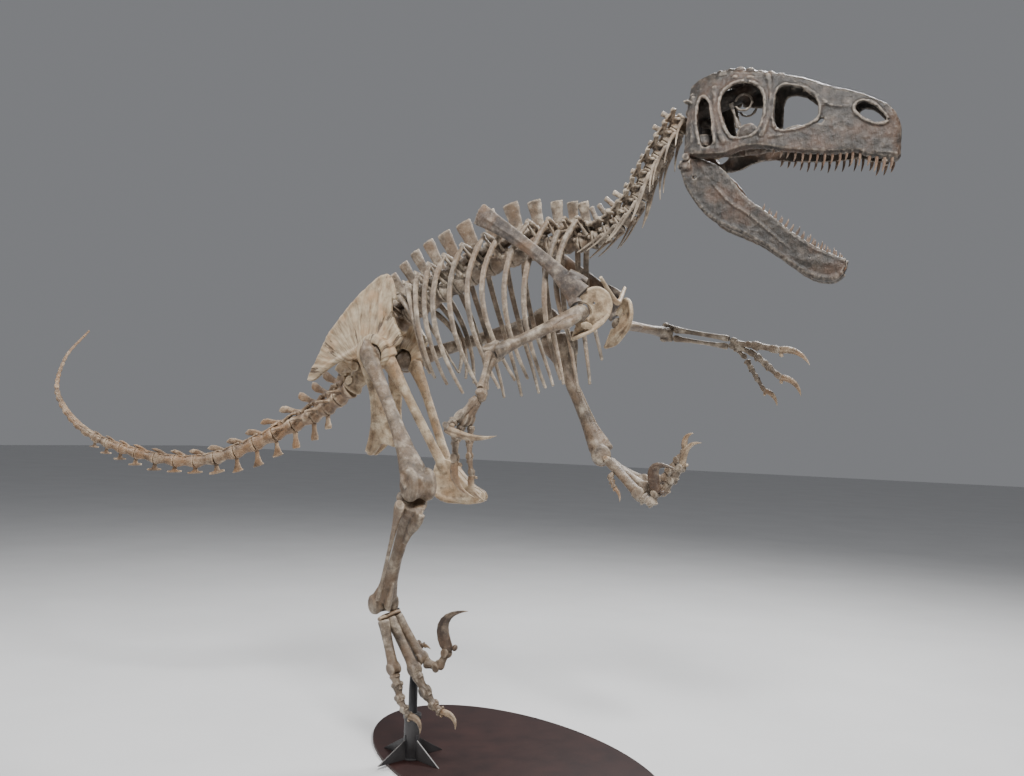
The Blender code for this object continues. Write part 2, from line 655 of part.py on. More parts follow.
def make_legs():
    right = make_leg(
        -1, "right", V(-0.275, -0.250, 0.964), V(-0.491, -0.090, 0.536), (-0.028, 0.0, 0.028),
        (V(-0.344, -0.062, 0.358), V(-0.348, -0.100, 0.328), V(-0.408, -0.138, 0.329)),
        [([V(-0.402, -0.040, 0.412), V(-0.374, -0.030, 0.397), V(-0.356, -0.030, 0.396)], 0.010,
          V(-0.332, -0.030, 0.388), V(0, 0, 0.003), 0.007, 0.005),
         ([V(-0.330, -0.058, 0.345), V(-0.280, -0.052, 0.336), V(-0.250, -0.050, 0.396)], 0.017,
          V(-0.170, -0.050, 0.537), V(-0.055, 0.0, 0.028), 0.024, 0.012),
         ([V(-0.338, -0.102, 0.312), V(-0.295, -0.103, 0.252), V(-0.262, -0.104, 0.218),
           V(-0.236, -0.105, 0.204)], 0.018, V(-0.180, -0.106, 0.150), V(0.018, 0, 0.014), 0.014, 0.009),
         ([V(-0.402, -0.141, 0.310), V(-0.386, -0.143, 0.274), V(-0.373, -0.146, 0.232),
           V(-0.350, -0.149, 0.202), V(-0.333, -0.150, 0.186)], 0.017, V(-0.288, -0.151, 0.130),
          V(0.016, 0, 0.014), 0.014, 0.009)])
    left = make_leg(
        1, "left", V(-0.076, 0.290, 1.548), V(0.152, 0.300, 1.072), (-0.028, 0.0, 0.028),
        (V(0.330, 0.205, 0.948), V(0.342, 0.243, 0.968), V(0.324, 0.282, 0.990)),
        [([V(0.212, 0.238, 1.006), V(0.224, 0.222, 0.988), V(0.238, 0.210, 0.966)], 0.010,
          V(0.265, 0.190, 0.916), V(0.008, 0, 0.004), 0.008, 0.005),
         ([V(0.346, 0.199, 0.938), V(0.380, 0.192, 0.924), V(0.396, 0.188, 0.962)], 0.017,
          V(0.472, 0.180, 1.037), V(-0.042, 0.0, 0.046), 0.022, 0.012),
         ([V(0.358, 0.238, 0.962), V(0.413, 0.224, 0.966), V(0.446, 0.214, 1.010),
           V(0.478, 0.206, 1.052)], 0.017, V(0.552, 0.184, 1.132), V(-0.016, 0, 0.024), 0.014, 0.009),
         ([V(0.338, 0.278, 0.988), V(0.392, 0.264, 1.000), V(0.424, 0.256, 1.040),
           V(0.452, 0.250, 1.076), V(0.474, 0.246, 1.102)], 0.016, V(0.508, 0.236, 1.164),
          V(-0.014, 0, 0.014), 0.013, 0.009)])
    return right + left


# ------------------------------------------------------------------ shoulders and arms
def make_girdle():
    path = [V(-0.150, -0.112, 1.874), V(-0.090, -0.128, 1.838), V(0.020, -0.150, 1.768),
            V(0.140, -0.170, 1.680), V(0.205, -0.176, 1.618), V(0.240, -0.176, 1.585)]
    plane = V(0.55, 0, 0.83)
    scapula = loft("scapula_right", path, [0.046, 0.042, 0.029, 0.030, 0.042, 0.050],
                   [0.006, 0.006, 0.007, 0.008, 0.011, 0.012], plane, 6)
    round_end = [(0.236, 1.560), (0.262, 1.598), (0.285, 1.610), (0.308, 1.596), (0.320, 1.560),
                 (0.312, 1.520), (0.284, 1.484), (0.245, 1.455), (0.208, 1.444), (0.224, 1.478),
                 (0.230, 1.515)]
    coracoid = sheet("coracoid_right", round_end, 0.008,
                     lambda x, z: -0.172 + 1.05 * max(0.0, x - 0.250) + 0.35 * max(0.0, 1.52 - z))
    scapula = clear_of(scapula, [coracoid], GAP)
    coracoid = cut(coracoid, [drum("glenoid", SHOULDER, Y, 0.032, 0.06, 10)])
    scapula = cut(scapula, [drum("glenoid", SHOULDER, Y, 0.032, 0.06, 10)])
    v_path = [V(0.290, -0.112, 1.640), V(0.297, -0.060, 1.610), V(0.304, -0.022, 1.586),
              V(0.304, 0.022, 1.586), V(0.297, 0.060, 1.610), V(0.290, 0.112, 1.640)]
    furcula = tube("furcula", v_path, [0.006, 0.008, 0.010, 0.010, 0.008, 0.006], 1)
    cor_left = mirrored(coracoid, "coracoid_left")
    furcula = clear_of(furcula, [coracoid, cor_left], GAP)
    return [scapula, mirrored(scapula, "scapula_left"), coracoid, cor_left, furcula]


def make_arm(side, tag, elbow, wrist, palm_rays, fingers, palm_across):
    head = Vector((SHOULDER.x, side * abs(SHOULDER.y), SHOULDER.z))
    upper = (elbow - head).normalized()
    lower = (wrist - elbow).normalized()
    hinge = upper.cross(lower).normalized()
    flat = square_to(upper, hinge.cross(upper))
    rows = [(-0.06, 0.014, 0.014), (0.0, 0.026, 0.024), (0.14, 0.040, 0.018), (0.30, 0.032, 0.015),
            (0.45, 0.019, 0.016), (0.75, 0.019, 0.016), (0.94, 0.026, 0.026)]
    shaft = bone("humerus_" + tag, head, elbow, flat, rows, sides=6)
    knob = drum("knob", elbow, hinge, 0.022, 0.031, 10)
    humerus = fuse("humerus_" + tag, [shaft, knob])

    start = elbow + lower * (0.022 + JOINT_ROOM + 0.003)
    stop = wrist - lower * 0.010
    rows = [(0.0, 0.012, 0.013), (0.1, 0.011, 0.012), (0.5, 0.0075, 0.008), (0.85, 0.010, 0.010),
            (1.0, 0.013, 0.012)]
    radius = bone("radius_" + tag, start + hinge * 0.016, stop + hinge * 0.014, hinge, rows,
                  flat * 0.004, 6)
    rows = [(0.0, 0.013, 0.020), (0.1, 0.013, 0.018), (0.5, 0.009, 0.009), (0.85, 0.010, 0.010),
            (1.0, 0.012, 0.013)]
    ulna = bone("ulna_" + tag, start - hinge * 0.016, stop - hinge * 0.014, hinge, rows,
                flat * -0.010, 6)

    parts = [block("palm_" + tag, wrist + lower * 0.008, (lower, hinge, lower.cross(hinge)),
                   (0.013, 0.021, 0.015))]
    for a, b, r in palm_rays:
        rows = [(0.12, r, r), (0.5, r * 0.75, r * 0.75), (1.0, r, r)]
        parts.append(bone("metacarpal", a, b, palm_across, rows, sides=4))
    palm = fuse("palm_" + tag, parts)
    radius = clear_of(radius, [palm], GAP)
    ulna = clear_of(ulna, [palm, radius], GAP)
    nodes = [humerus, radius, ulna, palm]
    for n, (joints, r, tip, bulge, height, thick) in enumerate(fingers):
        nodes.append(digit("finger_%d_%s" % (n + 1, tag), joints, r, tip, bulge, height, thick, palm_across))
    return nodes


def make_arms():
    wrist = V(0.579, 0.420, 1.485)
    left = make_arm(
        1, "left", V(0.340, 0.450, 1.526), wrist,
        [(wrist, V(0.652, 0.402, 1.477), 0.012), (wrist, V(0.664, 0.411, 1.444), 0.012),
         (wrist, V(0.626, 0.430, 1.436), 0.010)],
        [([V(0.662, 0.399, 1.476), V(0.752, 0.380, 1.456)], 0.013, V(0.862, 0.350, 1.400),
          V(0.010, 0, 0.018), 0.018, 0.008),
         ([V(0.672, 0.409, 1.438), V(0.711, 0.400, 1.404), V(0.757, 0.391, 1.364)], 0.012,
          V(0.829, 0.388, 1.296), V(0.012, 0, 0.014), 0.015, 0.007),
         ([V(0.634, 0.430, 1.424), V(0.650, 0.430, 1.395), V(0.668, 0.430, 1.366),
           V(0.696, 0.430, 1.320)], 0.010, V(0.742, 0.430, 1.262), V(0.009, 0, 0.010), 0.012, 0.006)],
        V(-0.2, 0.9, 0.1))
    wrist = V(0.096, -0.530, 1.253)
    right = make_arm(
        -1, "right", V(0.025, -0.340, 1.384), wrist,
        [(wrist, V(0.040, -0.562, 1.180), 0.013), (wrist, V(0.050, -0.545, 1.166), 0.012),
         (wrist, V(0.062, -0.532, 1.168), 0.010)],
        [([V(0.034, -0.567, 1.174), V(0.010, -0.580, 1.152)], 0.013, V(0.187, -0.600, 1.136),
          V(0.0, 0, -0.016), 0.017, 0.009),
         ([V(0.045, -0.546, 1.158), V(0.027, -0.548, 1.118), V(0.026, -0.545, 1.058)], 0.012,
          V(0.092, -0.530, 0.956), V(-0.026, 0, -0.014), 0.015, 0.007),
         ([V(0.066, -0.528, 1.158), V(0.060, -0.524, 1.112), V(0.060, -0.520, 1.066),
           V(0.068, -0.518, 1.020)], 0.010, V(0.120, -0.515, 0.948), V(-0.020, 0, -0.010), 0.012, 0.006)],
        V(0.1, 0.9, -0.2))
    return left + right


# ------------------------------------------------------------------ head
def skull_section(x, low, top, half_low, half_top, inset=0.0):
    """A section across the skull: flat roof, sloping cheeks, narrower at the lower edge."""
    h = top - low
    side = [(half_low * 0.86, low), (half_low, low + 0.16 * h), ((half_low + half_top) / 2, low + 0.62 * h),
            (half_top, top - 0.10 * h), (half_top * 0.62, top)]
    ring = [V(x, -(y - inset), z) for y, z in side]
    ring += [V(x, y - inset, z) for y, z in side[::-1]]
    return ring


# stations along the skull: x, lower edge, roof, half-width below, half-width above
SKULL_ROWS = [(0.535, 2.110, 2.232, 0.060, 0.045), (0.552, 2.013, 2.262, 0.100, 0.060),
              (0.600, 2.008, 2.284, 0.112, 0.072), (0.665, 2.006, 2.292, 0.108, 0.076),
              (0.740, 2.022, 2.278, 0.096, 0.069), (0.890, 2.008, 2.240, 0.067, 0.047),
              (0.980, 2.001, 2.206, 0.056, 0.041), (1.080, 1.990, 2.168, 0.044, 0.035),
              (1.140, 1.977, 2.120, 0.030, 0.023), (1.160, 1.990, 2.074, 0.018, 0.012)]


def tooth_row(name, x0, x1, z_of, length, count, y_of, half=0.0035, lean=0.0):
    """Teeth side by side as one saw-toothed strip, rooted in the jaw's edge."""
    pitch = (x1 - x0) / count
    outline = [(x1, z_of(x1) + 0.010), (x0, z_of(x0) + 0.010)]
    for k in range(count):
        a = x0 + pitch * k
        size = length * (0.75 + 0.5 * math.sin(math.pi * (k + 0.7) / (count + 0.8)))
        size *= 1.0 if k % 2 == 0 else 0.82
        outline.append((a, z_of(a) - 0.001))
        outline.append((a + pitch * 0.42 + lean, z_of(a) - size))
    outline.append((x1, z_of(x1) - 0.001))
    return sheet(name, outline, half, y_of)


def window(name, x, z, long, high, tilt, sides):
    """A cutter for one pair of openings: an oval bar right across the head."""
    bm = bmesh.new()
    bmesh.ops.create_cone(bm, cap_ends=True, segments=sides, radius1=1.0, radius2=1.0, depth=0.4)
    turn = Matrix.Rotation(math.radians(tilt), 4, 'Y') @ Matrix.Diagonal((long, 1.0, high, 1.0))
    lay = Matrix.Rotation(math.pi / 2, 4, 'X')
    bmesh.ops.transform(bm, matrix=Matrix.Translation((x, 0, z)) @ turn @ lay, verts=bm.verts)
    return to_object(name, bm)


def make_skull():
    shell = rings_to_object("skull", [skull_section(*row) for row in SKULL_ROWS])

    def edge_half(x):
        return float(np.interp(x, [r[0] for r in SKULL_ROWS], [r[3] for r in SKULL_ROWS])) * 0.86

    def low_edge(x):
        return 2.012 - 0.012 * min(1.0, max(0.0, (x - 0.80) / 0.2))

    rows = []
    for side in (-1, 1):
        rows.append(tooth_row("cheek_teeth", 0.795, 1.082, low_edge, 0.033, 11,
                              lambda x, z, s=side: s * (edge_half(x) - 0.004)))
        rows.append(tooth_row("front_teeth", 1.092, 1.150, lambda x: 1.984, 0.024, 3,
                              lambda x, z, s=side: s * (edge_half(x) - 0.004)))
    skull = fuse("skull", [shell] + rows)

    inner = []
    for x, low, top, half_low, half_top in SKULL_ROWS[2:8:2] + SKULL_ROWS[7:8]:
        edge = half_low * 0.86 - SKULL_WALL
        brow = (half_low + half_top) / 2 - SKULL_WALL
        side = [(edge, low - 0.06), (edge, low + 0.012), (brow, low + 0.62 * (top - low)),
                (half_top * 0.62, top - SKULL_WALL)]
        inner.append([V(x + 0.003, -y, z) for y, z in side] + [V(x + 0.003, y, z) for y, z in side[::-1]])
    skull = cut(skull, [rings_to_object("hollow", inner),
                        window("orbit", 0.712, 2.140, 0.058, 0.072, 0.0, 8),
                        window("antorbital", 0.866, 2.135, 0.062, 0.056, 10.0, 7),
                        window("temple", 0.609, 2.105, 0.021, 0.070, -6.0, 6),
                        window("naris", 1.080, 2.108, 0.046, 0.019, 22.0, 6)])
    case = loft("case", [V(0.545, 0, 2.165), V(0.585, 0, 2.200), V(0.735, 0, 2.235)],
                [0.030, 0.038, 0.020], [0.030, 0.040, 0.030], Y, 6)
    knob = ball("knob", V(0.532, 0, 2.178), (0.014, 0.018, 0.016), 6, 4)
    return fuse("skull", [skull, case, knob])


def make_jaw():
    rows = [(0.522, 1.972, 1.998), (0.548, 1.934, 2.002), (0.590, 1.866, 1.998), (0.640, 1.820, 1.988),
            (0.740, 1.763, 1.870), (0.860, 1.672, 1.768), (0.920, 1.636, 1.727), (0.975, 1.630, 1.700),
            (1.015, 1.655, 1.690)]

    def ramus_y(x):
        return 0.097 - 0.078 * min(1.0, max(0.0, (x - 0.50) / 0.47))

    parts = []
    for side in (-1, 1):
        rings = []
        for i, (x, low, top) in enumerate(rows):
            half = 0.013 if 0 < i < len(rows) - 1 else 0.008
            y = side * ramus_y(x)
            mid = (low + top) / 2
            rings.append([V(x, y - half * 0.6, low), V(x, y + half * 0.6, low), V(x, y + half, mid),
                          V(x, y + half * 0.45, top), V(x, y - half * 0.45, top), V(x, y - half, mid)])
        parts.append(rings_to_object("lower_jaw", rings))
    parts.append(block("chin", V(0.985, 0, 1.668), (V(0.98, 0, 0.1), Y, V(-0.1, 0, 0.98)),
                       (0.030, 0.026, 0.024)))

    def top_edge(x):
        return float(np.interp(x, [r[0] for r in rows], [r[2] for r in rows]))

    for side in (-1, 1):
        strip = tooth_row("teeth", 0.775, 1.005, lambda x: -top_edge(x), 0.028, 9,
                          lambda x, z, s=side: 0.0, lean=0.004)
        for v in strip.data.vertices:
            v.co.z = -v.co.z
            v.co.y += side * ramus_y(v.co.x)
        bm = bmesh.new()
        bm.from_mesh(strip.data)
        bpy.data.objects.remove(strip, do_unlink=True)
        parts.append(to_object("teeth", bm))
    return fuse("lower_jaw", parts)


# ------------------------------------------------------------------ assembly
plate, post = make_stand()
rib_right, rib_left = make_ribcage()
neck_rear, neck_front = make_neck()
tail_parts = make_tail()
hips = make_hips()
legs = make_legs()
girdle = make_girdle()
arms = make_arms()
skull = make_skull()
jaw = make_jaw()


def swap(nodes, name, make):
    """Replace the named node in its list by what make returns for it."""
    index = [ob.name for ob in nodes].index(name)
    nodes[index] = make(nodes[index])
    return nodes[index]


def named(nodes, name):
    return [ob for ob in nodes if ob.name == name][0]


for tag in ("right", "left"):
    swap(legs, "metatarsus_" + tag, lambda ob: clear_of(ob, [named(legs, "tibia_" + tag)], JOINT_ROOM))
    swap(girdle, "coracoid_" + tag, lambda ob: clear_of(ob, [named(arms, "humerus_" + tag)], JOINT_ROOM))
post = clear_of(post, [named(legs, "metatarsus_right"), named(legs, "tibia_right")])
neck_rear = clear_of(neck_rear, [rib_right, rib_left])
neck_front = clear_of(neck_front, [neck_rear])
sacrum = swap(hips, "sacrum", lambda ob: clear_of(ob, [rib_right, rib_left]))
tail_parts[0] = clear_of(tail_parts[0], [sacrum])
for n in range(1, len(tail_parts)):
    tail_parts[n] = clear_of(tail_parts[n], [tail_parts[n - 1]])

finish(plate, MAROON)
finish(post, STEEL)
plate.parent = None
for ob in (rib_right, rib_left, neck_rear, neck_front):
    finish(ob, TAN)
for ob in tail_parts:
    finish(ob, RUST)
for ob in hips:
    finish(ob, CREAM)
for ob in legs + arms:
    finish(ob, TAN)
for ob in girdle:
    finish(ob, DARK if "scapula" in ob.name else CREAM)
finish(skull, DARK)
finish(jaw, DARK)
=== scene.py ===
"""Mounted skeleton of a large sickle-clawed dinosaur, leaping, on its steel stand."""
import math

import bpy
from mathutils import Matrix, Vector


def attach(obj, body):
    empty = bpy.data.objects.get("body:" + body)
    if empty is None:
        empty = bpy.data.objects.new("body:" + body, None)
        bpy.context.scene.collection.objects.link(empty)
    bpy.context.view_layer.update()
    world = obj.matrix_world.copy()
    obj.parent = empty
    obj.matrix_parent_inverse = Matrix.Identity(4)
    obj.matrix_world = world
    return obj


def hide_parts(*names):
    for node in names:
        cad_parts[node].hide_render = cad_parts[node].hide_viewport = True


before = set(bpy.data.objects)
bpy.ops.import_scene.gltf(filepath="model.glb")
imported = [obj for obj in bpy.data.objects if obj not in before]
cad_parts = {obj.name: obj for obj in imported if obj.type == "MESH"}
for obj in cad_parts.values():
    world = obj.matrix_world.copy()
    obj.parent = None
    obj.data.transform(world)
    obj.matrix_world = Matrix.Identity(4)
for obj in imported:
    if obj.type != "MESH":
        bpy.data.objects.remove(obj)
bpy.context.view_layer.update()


# ------------------------------------------------------------------ base plate
# The oval plate is flame-cut steel, 12 mm thick, with its top edge rounded over and painted
# dark maroon. It lies loose on the floor and its weight keeps the mount upright.
class Tint:
    """A value inside a paint, which adds and multiplies like a number."""

    def __init__(self, paint, socket):
        self.paint, self.socket = paint, socket

    def sum(self, operation, a, b):
        return self.paint.node("ShaderNodeMath", {"operation": operation}, {0: a, 1: b})

    def __add__(self, other):
        return self.sum("ADD", self, other)

    def __radd__(self, other):
        return self.sum("ADD", other, self)

    def __sub__(self, other):
        return self.sum("SUBTRACT", self, other)

    def __rsub__(self, other):
        return self.sum("SUBTRACT", other, self)

    def __mul__(self, other):
        return self.sum("MULTIPLY", self, other)

    def __rmul__(self, other):
        return self.sum("MULTIPLY", other, self)


class Paint:
    """A surface finish: node() adds any node and gives back one of its outputs."""

    def __init__(self, name):
        self.material = bpy.data.materials.new(name)
        self.material.use_nodes = True
        self.tree = self.material.node_tree
        self.shader = self.tree.nodes["Principled BSDF"]
        self.place = self.node("ShaderNodeTexCoord", out="Object")

    def node(self, kind, settings=None, sockets=None, out=0):
        made = self.tree.nodes.new(kind)
        for key, value in (settings or {}).items():
            if key == "stops":
                ramp = made.color_ramp.elements
                while len(ramp) < len(value):
                    ramp.new(0.5)
                for stop, (spot, shade) in zip(ramp, value):
                    stop.position, stop.color = spot, (*shade, 1.0)
            else:
                setattr(made, key, value)
        for key, value in (sockets or {}).items():
            self.feed(made.inputs[key], value)
        return Tint(self, made.outputs[out])

    def feed(self, socket, value):
        if isinstance(value, Tint):
            self.tree.links.new(value.socket, socket)
        else:
            socket.default_value = value

    def speckle(self, scale, detail=4.0, rough=0.55, stretch=(1, 1, 1)):
        """Cloudy variation between 0 and 1, drawn out along the axes given small numbers."""
        spot = self.node("ShaderNodeMapping", None, {"Vector": self.place, "Scale": stretch})
        return self.node("ShaderNodeTexNoise", None, {"Vector": spot, "Scale": scale, "Detail": detail,
                                                      "Roughness": rough})

    def steps(self, value, *stops):
        return self.node("ShaderNodeValToRGB", {"stops": stops}, {"Fac": value})

    def blend(self, share, a, b, kind='MIX'):
        """Two colours laid over each other."""
        return self.node("ShaderNodeMix", {"data_type": 'RGBA', "blend_type": kind},
                         {0: share, 6: a, 7: b}, out=2)

    def finish(self, colour, roughness, height=None, relief=0.0):
        self.feed(self.shader.inputs["Base Color"], colour)
        self.feed(self.shader.inputs["Roughness"], roughness)
        if height is not None:
            bump = self.node("ShaderNodeBump", None, {"Strength": 1.0, "Distance": relief, "Height": height})
            self.feed(self.shader.inputs["Normal"], bump)
        return self.material


def black(grey):
    return (grey, grey, grey)


def maroon_paint():
    paint = Paint("maroon_paint")
    dust = paint.speckle(9.0, 6.0)
    grain = paint.speckle(420.0, 2.0)
    scuff = paint.speckle(14.0, 8.0, 0.7, (1, 6, 1))
    tone = paint.steps(dust, (0.30, (0.013, 0.0036, 0.0030)), (0.72, (0.025, 0.0075, 0.0055)))
    worn = paint.steps(scuff, (0.62, black(0.0)), (0.72, black(1.0)))
    tone = paint.blend(worn * 0.10, tone, (0.16, 0.09, 0.075, 1))
    edge = paint.node("ShaderNodeNewGeometry", out="Pointiness")
    # paler along the sharp edges of the rim
    pale_rim = paint.steps(edge, (0.53, black(0.0)), (0.60, black(1.0)))
    tone = paint.blend(pale_rim * 0.5, tone, (0.30, 0.24, 0.21, 1))
    paint.shader.inputs["Specular IOR Level"].default_value = 0.35
    return paint.finish(tone, 0.48 + dust * 0.2, grain, 0.0003)


def nothing_picked():
    bpy.ops.object.select_all(action='DESELECT')


def settled(ob, paint, slot, *nodes):
    """Give a finished piece its paint and its part in the mount, with its place in its mesh."""
    nothing_picked()
    ob.select_set(True)
    bpy.context.view_layer.objects.active = ob
    bpy.ops.object.transform_apply(location=True, rotation=True, scale=True)
    ob.data.materials.clear()
    ob.data.materials.append(paint)
    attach(ob, "root")
    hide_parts(*nodes)
    return ob


def picked_edges(ob, test):
    """In edit mode, pick only the edges whose two ends pass a test."""
    bpy.ops.mesh.select_all(action='DESELECT')
    bpy.ops.object.mode_set(mode='OBJECT')
    for edge in ob.data.edges:
        edge.select = all(test(ob.data.vertices[v].co) for v in edge.vertices)
    bpy.ops.object.mode_set(mode='EDIT')


PLATE_THICK = 0.012
HARD_EDGE = math.radians(35)
nothing_picked()
bpy.ops.mesh.primitive_cylinder_add(vertices=160, radius=1.0, depth=PLATE_THICK,
                                    location=(0, 0, PLATE_THICK / 2),
                                    rotation=(0, 0, math.radians(-33)), scale=(0.715, 0.410, 1.0))
plate = bpy.context.object
plate.name = "oval_plate"
bpy.ops.object.transform_apply(location=True, rotation=True, scale=True)
bpy.ops.object.mode_set(mode='EDIT')
bpy.ops.mesh.select_mode(type='EDGE')
picked_edges(plate, lambda co: co.z > 0.011)
bpy.ops.mesh.bevel(offset=0.0022, segments=3, affect='EDGES')
bpy.ops.object.mode_set(mode='OBJECT')
bpy.ops.object.shade_smooth_by_angle(angle=HARD_EDGE)
settled(plate, maroon_paint(), "plate_maroon", "stand_plate")


# ------------------------------------------------------------------ steel post
# A welded post: a wide sleeve with a clamping collar, four triangular gussets down to the plate,
# and the tube that climbs behind the hanging foot to the ankle. Black satin paint.
def post_paint():
    paint = Paint("post_black")
    haze = paint.speckle(30.0, 5.0)
    grain = paint.speckle(700.0, 2.0)
    edge = paint.node("ShaderNodeNewGeometry", out="Pointiness")
    tone = paint.steps(haze, (0.35, (0.012, 0.012, 0.014)), (0.75, (0.030, 0.029, 0.030)))
    # paler along the sharp edges
    pale_edge = paint.steps(edge, (0.54, black(0.0)), (0.62, black(1.0)))
    tone = paint.blend(pale_edge * 0.55, tone, (0.34, 0.31, 0.29, 1))
    return paint.finish(tone, 0.30 + haze * 0.25, grain, 0.0002)


MIDLINE = Vector((0.09, -0.13, 0.0))


def at(x, y, z):
    """A spot measured from the animal's own midline."""
    return Vector((x, y, z)) + MIDLINE


def smooth_line(points, count):
    """Evenly numbered spots on a smooth line through a few given ones."""
    points = [2 * points[0] - points[1]] + list(points) + [2 * points[-1] - points[-2]]
    spots = []
    for k in range(count):
        place = k / (count - 1) * (len(points) - 3)
        i = min(int(place), len(points) - 4)
        t = place - i
        a, b, c, d = points[i:i + 4]
        spots.append(0.5 * (2 * b + (c - a) * t + (2 * a - 5 * b + 4 * c - d) * t ** 2
                            + (3 * b - a - 3 * c + d) * t ** 3))
    return spots


def hoops(path, sizes, flat, corners=12):
    """Rough form of a rod or bone: oval hoops set along a path, bridged, with their ends filled."""
    nothing_picked()
    bpy.ops.object.add(type='MESH')
    ob = bpy.context.object
    bpy.ops.object.mode_set(mode='EDIT')
    last = len(path) - 1
    for i, (spot, size) in enumerate(zip(path, sizes)):
        heading = (path[min(i + 1, last)] - path[max(i - 1, 0)]).normalized()
        side = (flat - heading * flat.dot(heading)).normalized()
        turn = Matrix((side, heading.cross(side), heading)).transposed()
        bpy.ops.mesh.primitive_circle_add(vertices=corners, radius=size[0], location=spot,
                                          rotation=turn.to_euler())
        if abs(size[1] - size[0]) > 1e-6:
            bpy.ops.transform.resize(value=(1.0, size[1] / size[0], 1.0), orient_type='GLOBAL',
                                     orient_matrix=turn.transposed(), orient_matrix_type='GLOBAL',
                                     center_override=spot)
    bpy.ops.mesh.select_all(action='SELECT')
    bpy.ops.mesh.bridge_edge_loops()
    bpy.ops.mesh.select_all(action='SELECT')
    bpy.ops.mesh.fill_holes(sides=0)
    bpy.ops.mesh.normals_make_consistent(inside=False)
    bpy.ops.object.mode_set(mode='OBJECT')
    return ob


def joined(name, parts):
    nothing_picked()
    for part in parts:
        part.select_set(True)
    bpy.context.view_layer.objects.active = parts[0]
    if len(parts) > 1:
        bpy.ops.object.join()
    ob = bpy.context.object
    ob.name = name
    return ob


def upright(height, radius, low=0.0):
    """Hoops for a straight round length of the post."""
    foot = at(-0.380, -0.050, low)
    return hoops([foot, foot + Vector((0, 0, height))], [(radius, radius)] * 2, Vector((1, 0, 0)), 32)


def cast(name, forms, grain=0.0026, soften=5, lumps=0.016, rough=0.0016, keep=1.0):
    """Fuse overlapping rough forms into one skin, soften it, and pit it a little."""
    ob = joined(name, forms)
    fuse = ob.modifiers.new("fuse", 'REMESH')
    fuse.mode = 'VOXEL'
    fuse.voxel_size = grain
    fuse.use_smooth_shade = True
    soft = ob.modifiers.new("soften", 'SMOOTH')
    soft.iterations = soften
    if rough:
        pits = bpy.data.textures.get("pits_%g" % lumps) or bpy.data.textures.new("pits_%g" % lumps, 'CLOUDS')
        pits.noise_scale = lumps
        pits.noise_depth = 3
        wear = ob.modifiers.new("wear", 'DISPLACE')
        wear.texture = pits
        wear.texture_coords = 'LOCAL'
        wear.strength = rough
    if keep < 1.0:
        thin = ob.modifiers.new("thin", 'DECIMATE')
        thin.ratio = keep
    for modifier in list(ob.modifiers):
        bpy.ops.object.modifier_apply(modifier=modifier.name)
    return ob


post_foot = at(-0.380, -0.050, 0.0125)
sleeve = [upright(0.150, 0.027, 0.0125), upright(0.016, 0.031, 0.149), upright(0.008, 0.024, 0.160),
          upright(0.006, 0.034, 0.0125)]
rise = smooth_line([at(-0.380, -0.050, 0.10), at(-0.380, -0.050, 0.24), at(-0.395, -0.028, 0.33),
                    at(-0.440, -0.022, 0.44), at(-0.472, -0.034, 0.510)], 40)
tube = hoops(rise, [(0.0155 - 0.0045 * min(1.0, max(0.0, (k - 20) / 12)),) * 2 for k in range(40)],
             Vector((1, 0, 0)), 24)
gussets = []
for k in range(4):
    turn = Matrix.Rotation(math.radians(-18 + 90 * k), 4, 'Z')
    nothing_picked()
    bpy.ops.mesh.primitive_circle_add(vertices=3, fill_type='NGON', location=(0, 0, 0))
    gusset = bpy.context.object
    for corner, place in zip(gusset.data.vertices,
                             ((0.0, 0.003, 0.0), (0.145, 0.003, 0.0), (0.0, 0.003, 0.083))):
        corner.co = place
    bpy.ops.object.mode_set(mode='EDIT')
    bpy.ops.mesh.extrude_region_move(TRANSFORM_OT_translate={"value": (0.0, -0.006, 0.0)})
    bpy.ops.mesh.select_all(action='SELECT')
    bpy.ops.mesh.normals_make_consistent(inside=False)
    bpy.ops.object.mode_set(mode='OBJECT')
    gusset.matrix_world = Matrix.Translation(post_foot) @ turn
    gussets.append(gusset)
    run = [post_foot + turn @ Vector((0.026, 0, 0.002 + 0.080 * (1 - f))) for f in (0.0, 0.5, 1.0)]
    gussets.append(hoops(run, [(0.0045, 0.0045)] * 3, Vector((1, 0, 0)), 8))
post = joined("post", sleeve + [tube] + gussets)
bevel = post.modifiers.new("edges", 'BEVEL')
bevel.width = 0.0007
bevel.segments = 2
bpy.ops.object.modifier_apply(modifier="edges")
bpy.ops.object.shade_smooth_by_angle(angle=HARD_EDGE)
settled(post, post_paint(), "steel_black", "stand_post")


# ------------------------------------------------------------------ back vertebrae
# Thirteen vertebrae, all but the last with ribs. Each is a spool with an arch, a flat spine flared at
# its top, two side processes and four joint arms. Cast in tinted resin and strung on a steel rod.
class Line:
    """A smooth line through a few spots, measured along its length."""

    def __init__(self, spots):
        self.spots = smooth_line(spots, 24 * (len(spots) - 1) + 1)
        self.marks = [0.0]
        for a, b in zip(self.spots, self.spots[1:]):
            self.marks.append(self.marks[-1] + (b - a).length)
        self.length = self.marks[-1]

    def at(self, mark):
        mark = min(max(mark, 0.0), self.length)
        i = max(k for k in range(len(self.marks) - 1) if self.marks[k] <= mark)
        return self.spots[i].lerp(self.spots[i + 1],
                                  (mark - self.marks[i]) / (self.marks[i + 1] - self.marks[i]))

    def heading(self, mark):
        return (self.at(mark + 0.01) - self.at(mark - 0.01)).normalized()


def square(direction, towards):
    return (towards - direction * towards.dot(direction)).normalized()


ACROSS = Vector((0, 1, 0))
UP = Vector((0, 0, 1))


def seat(spot, ahead, up, size=(1, 1, 1)):
    """Where a copy goes: its x axis ahead, its z axis up, scaled by size."""
    up = square(ahead, up)
    turn = Matrix((ahead, up.cross(ahead), up)).transposed().to_4x4()
    return Matrix.Translation(spot) @ turn @ Matrix.Diagonal((*size, 1.0))


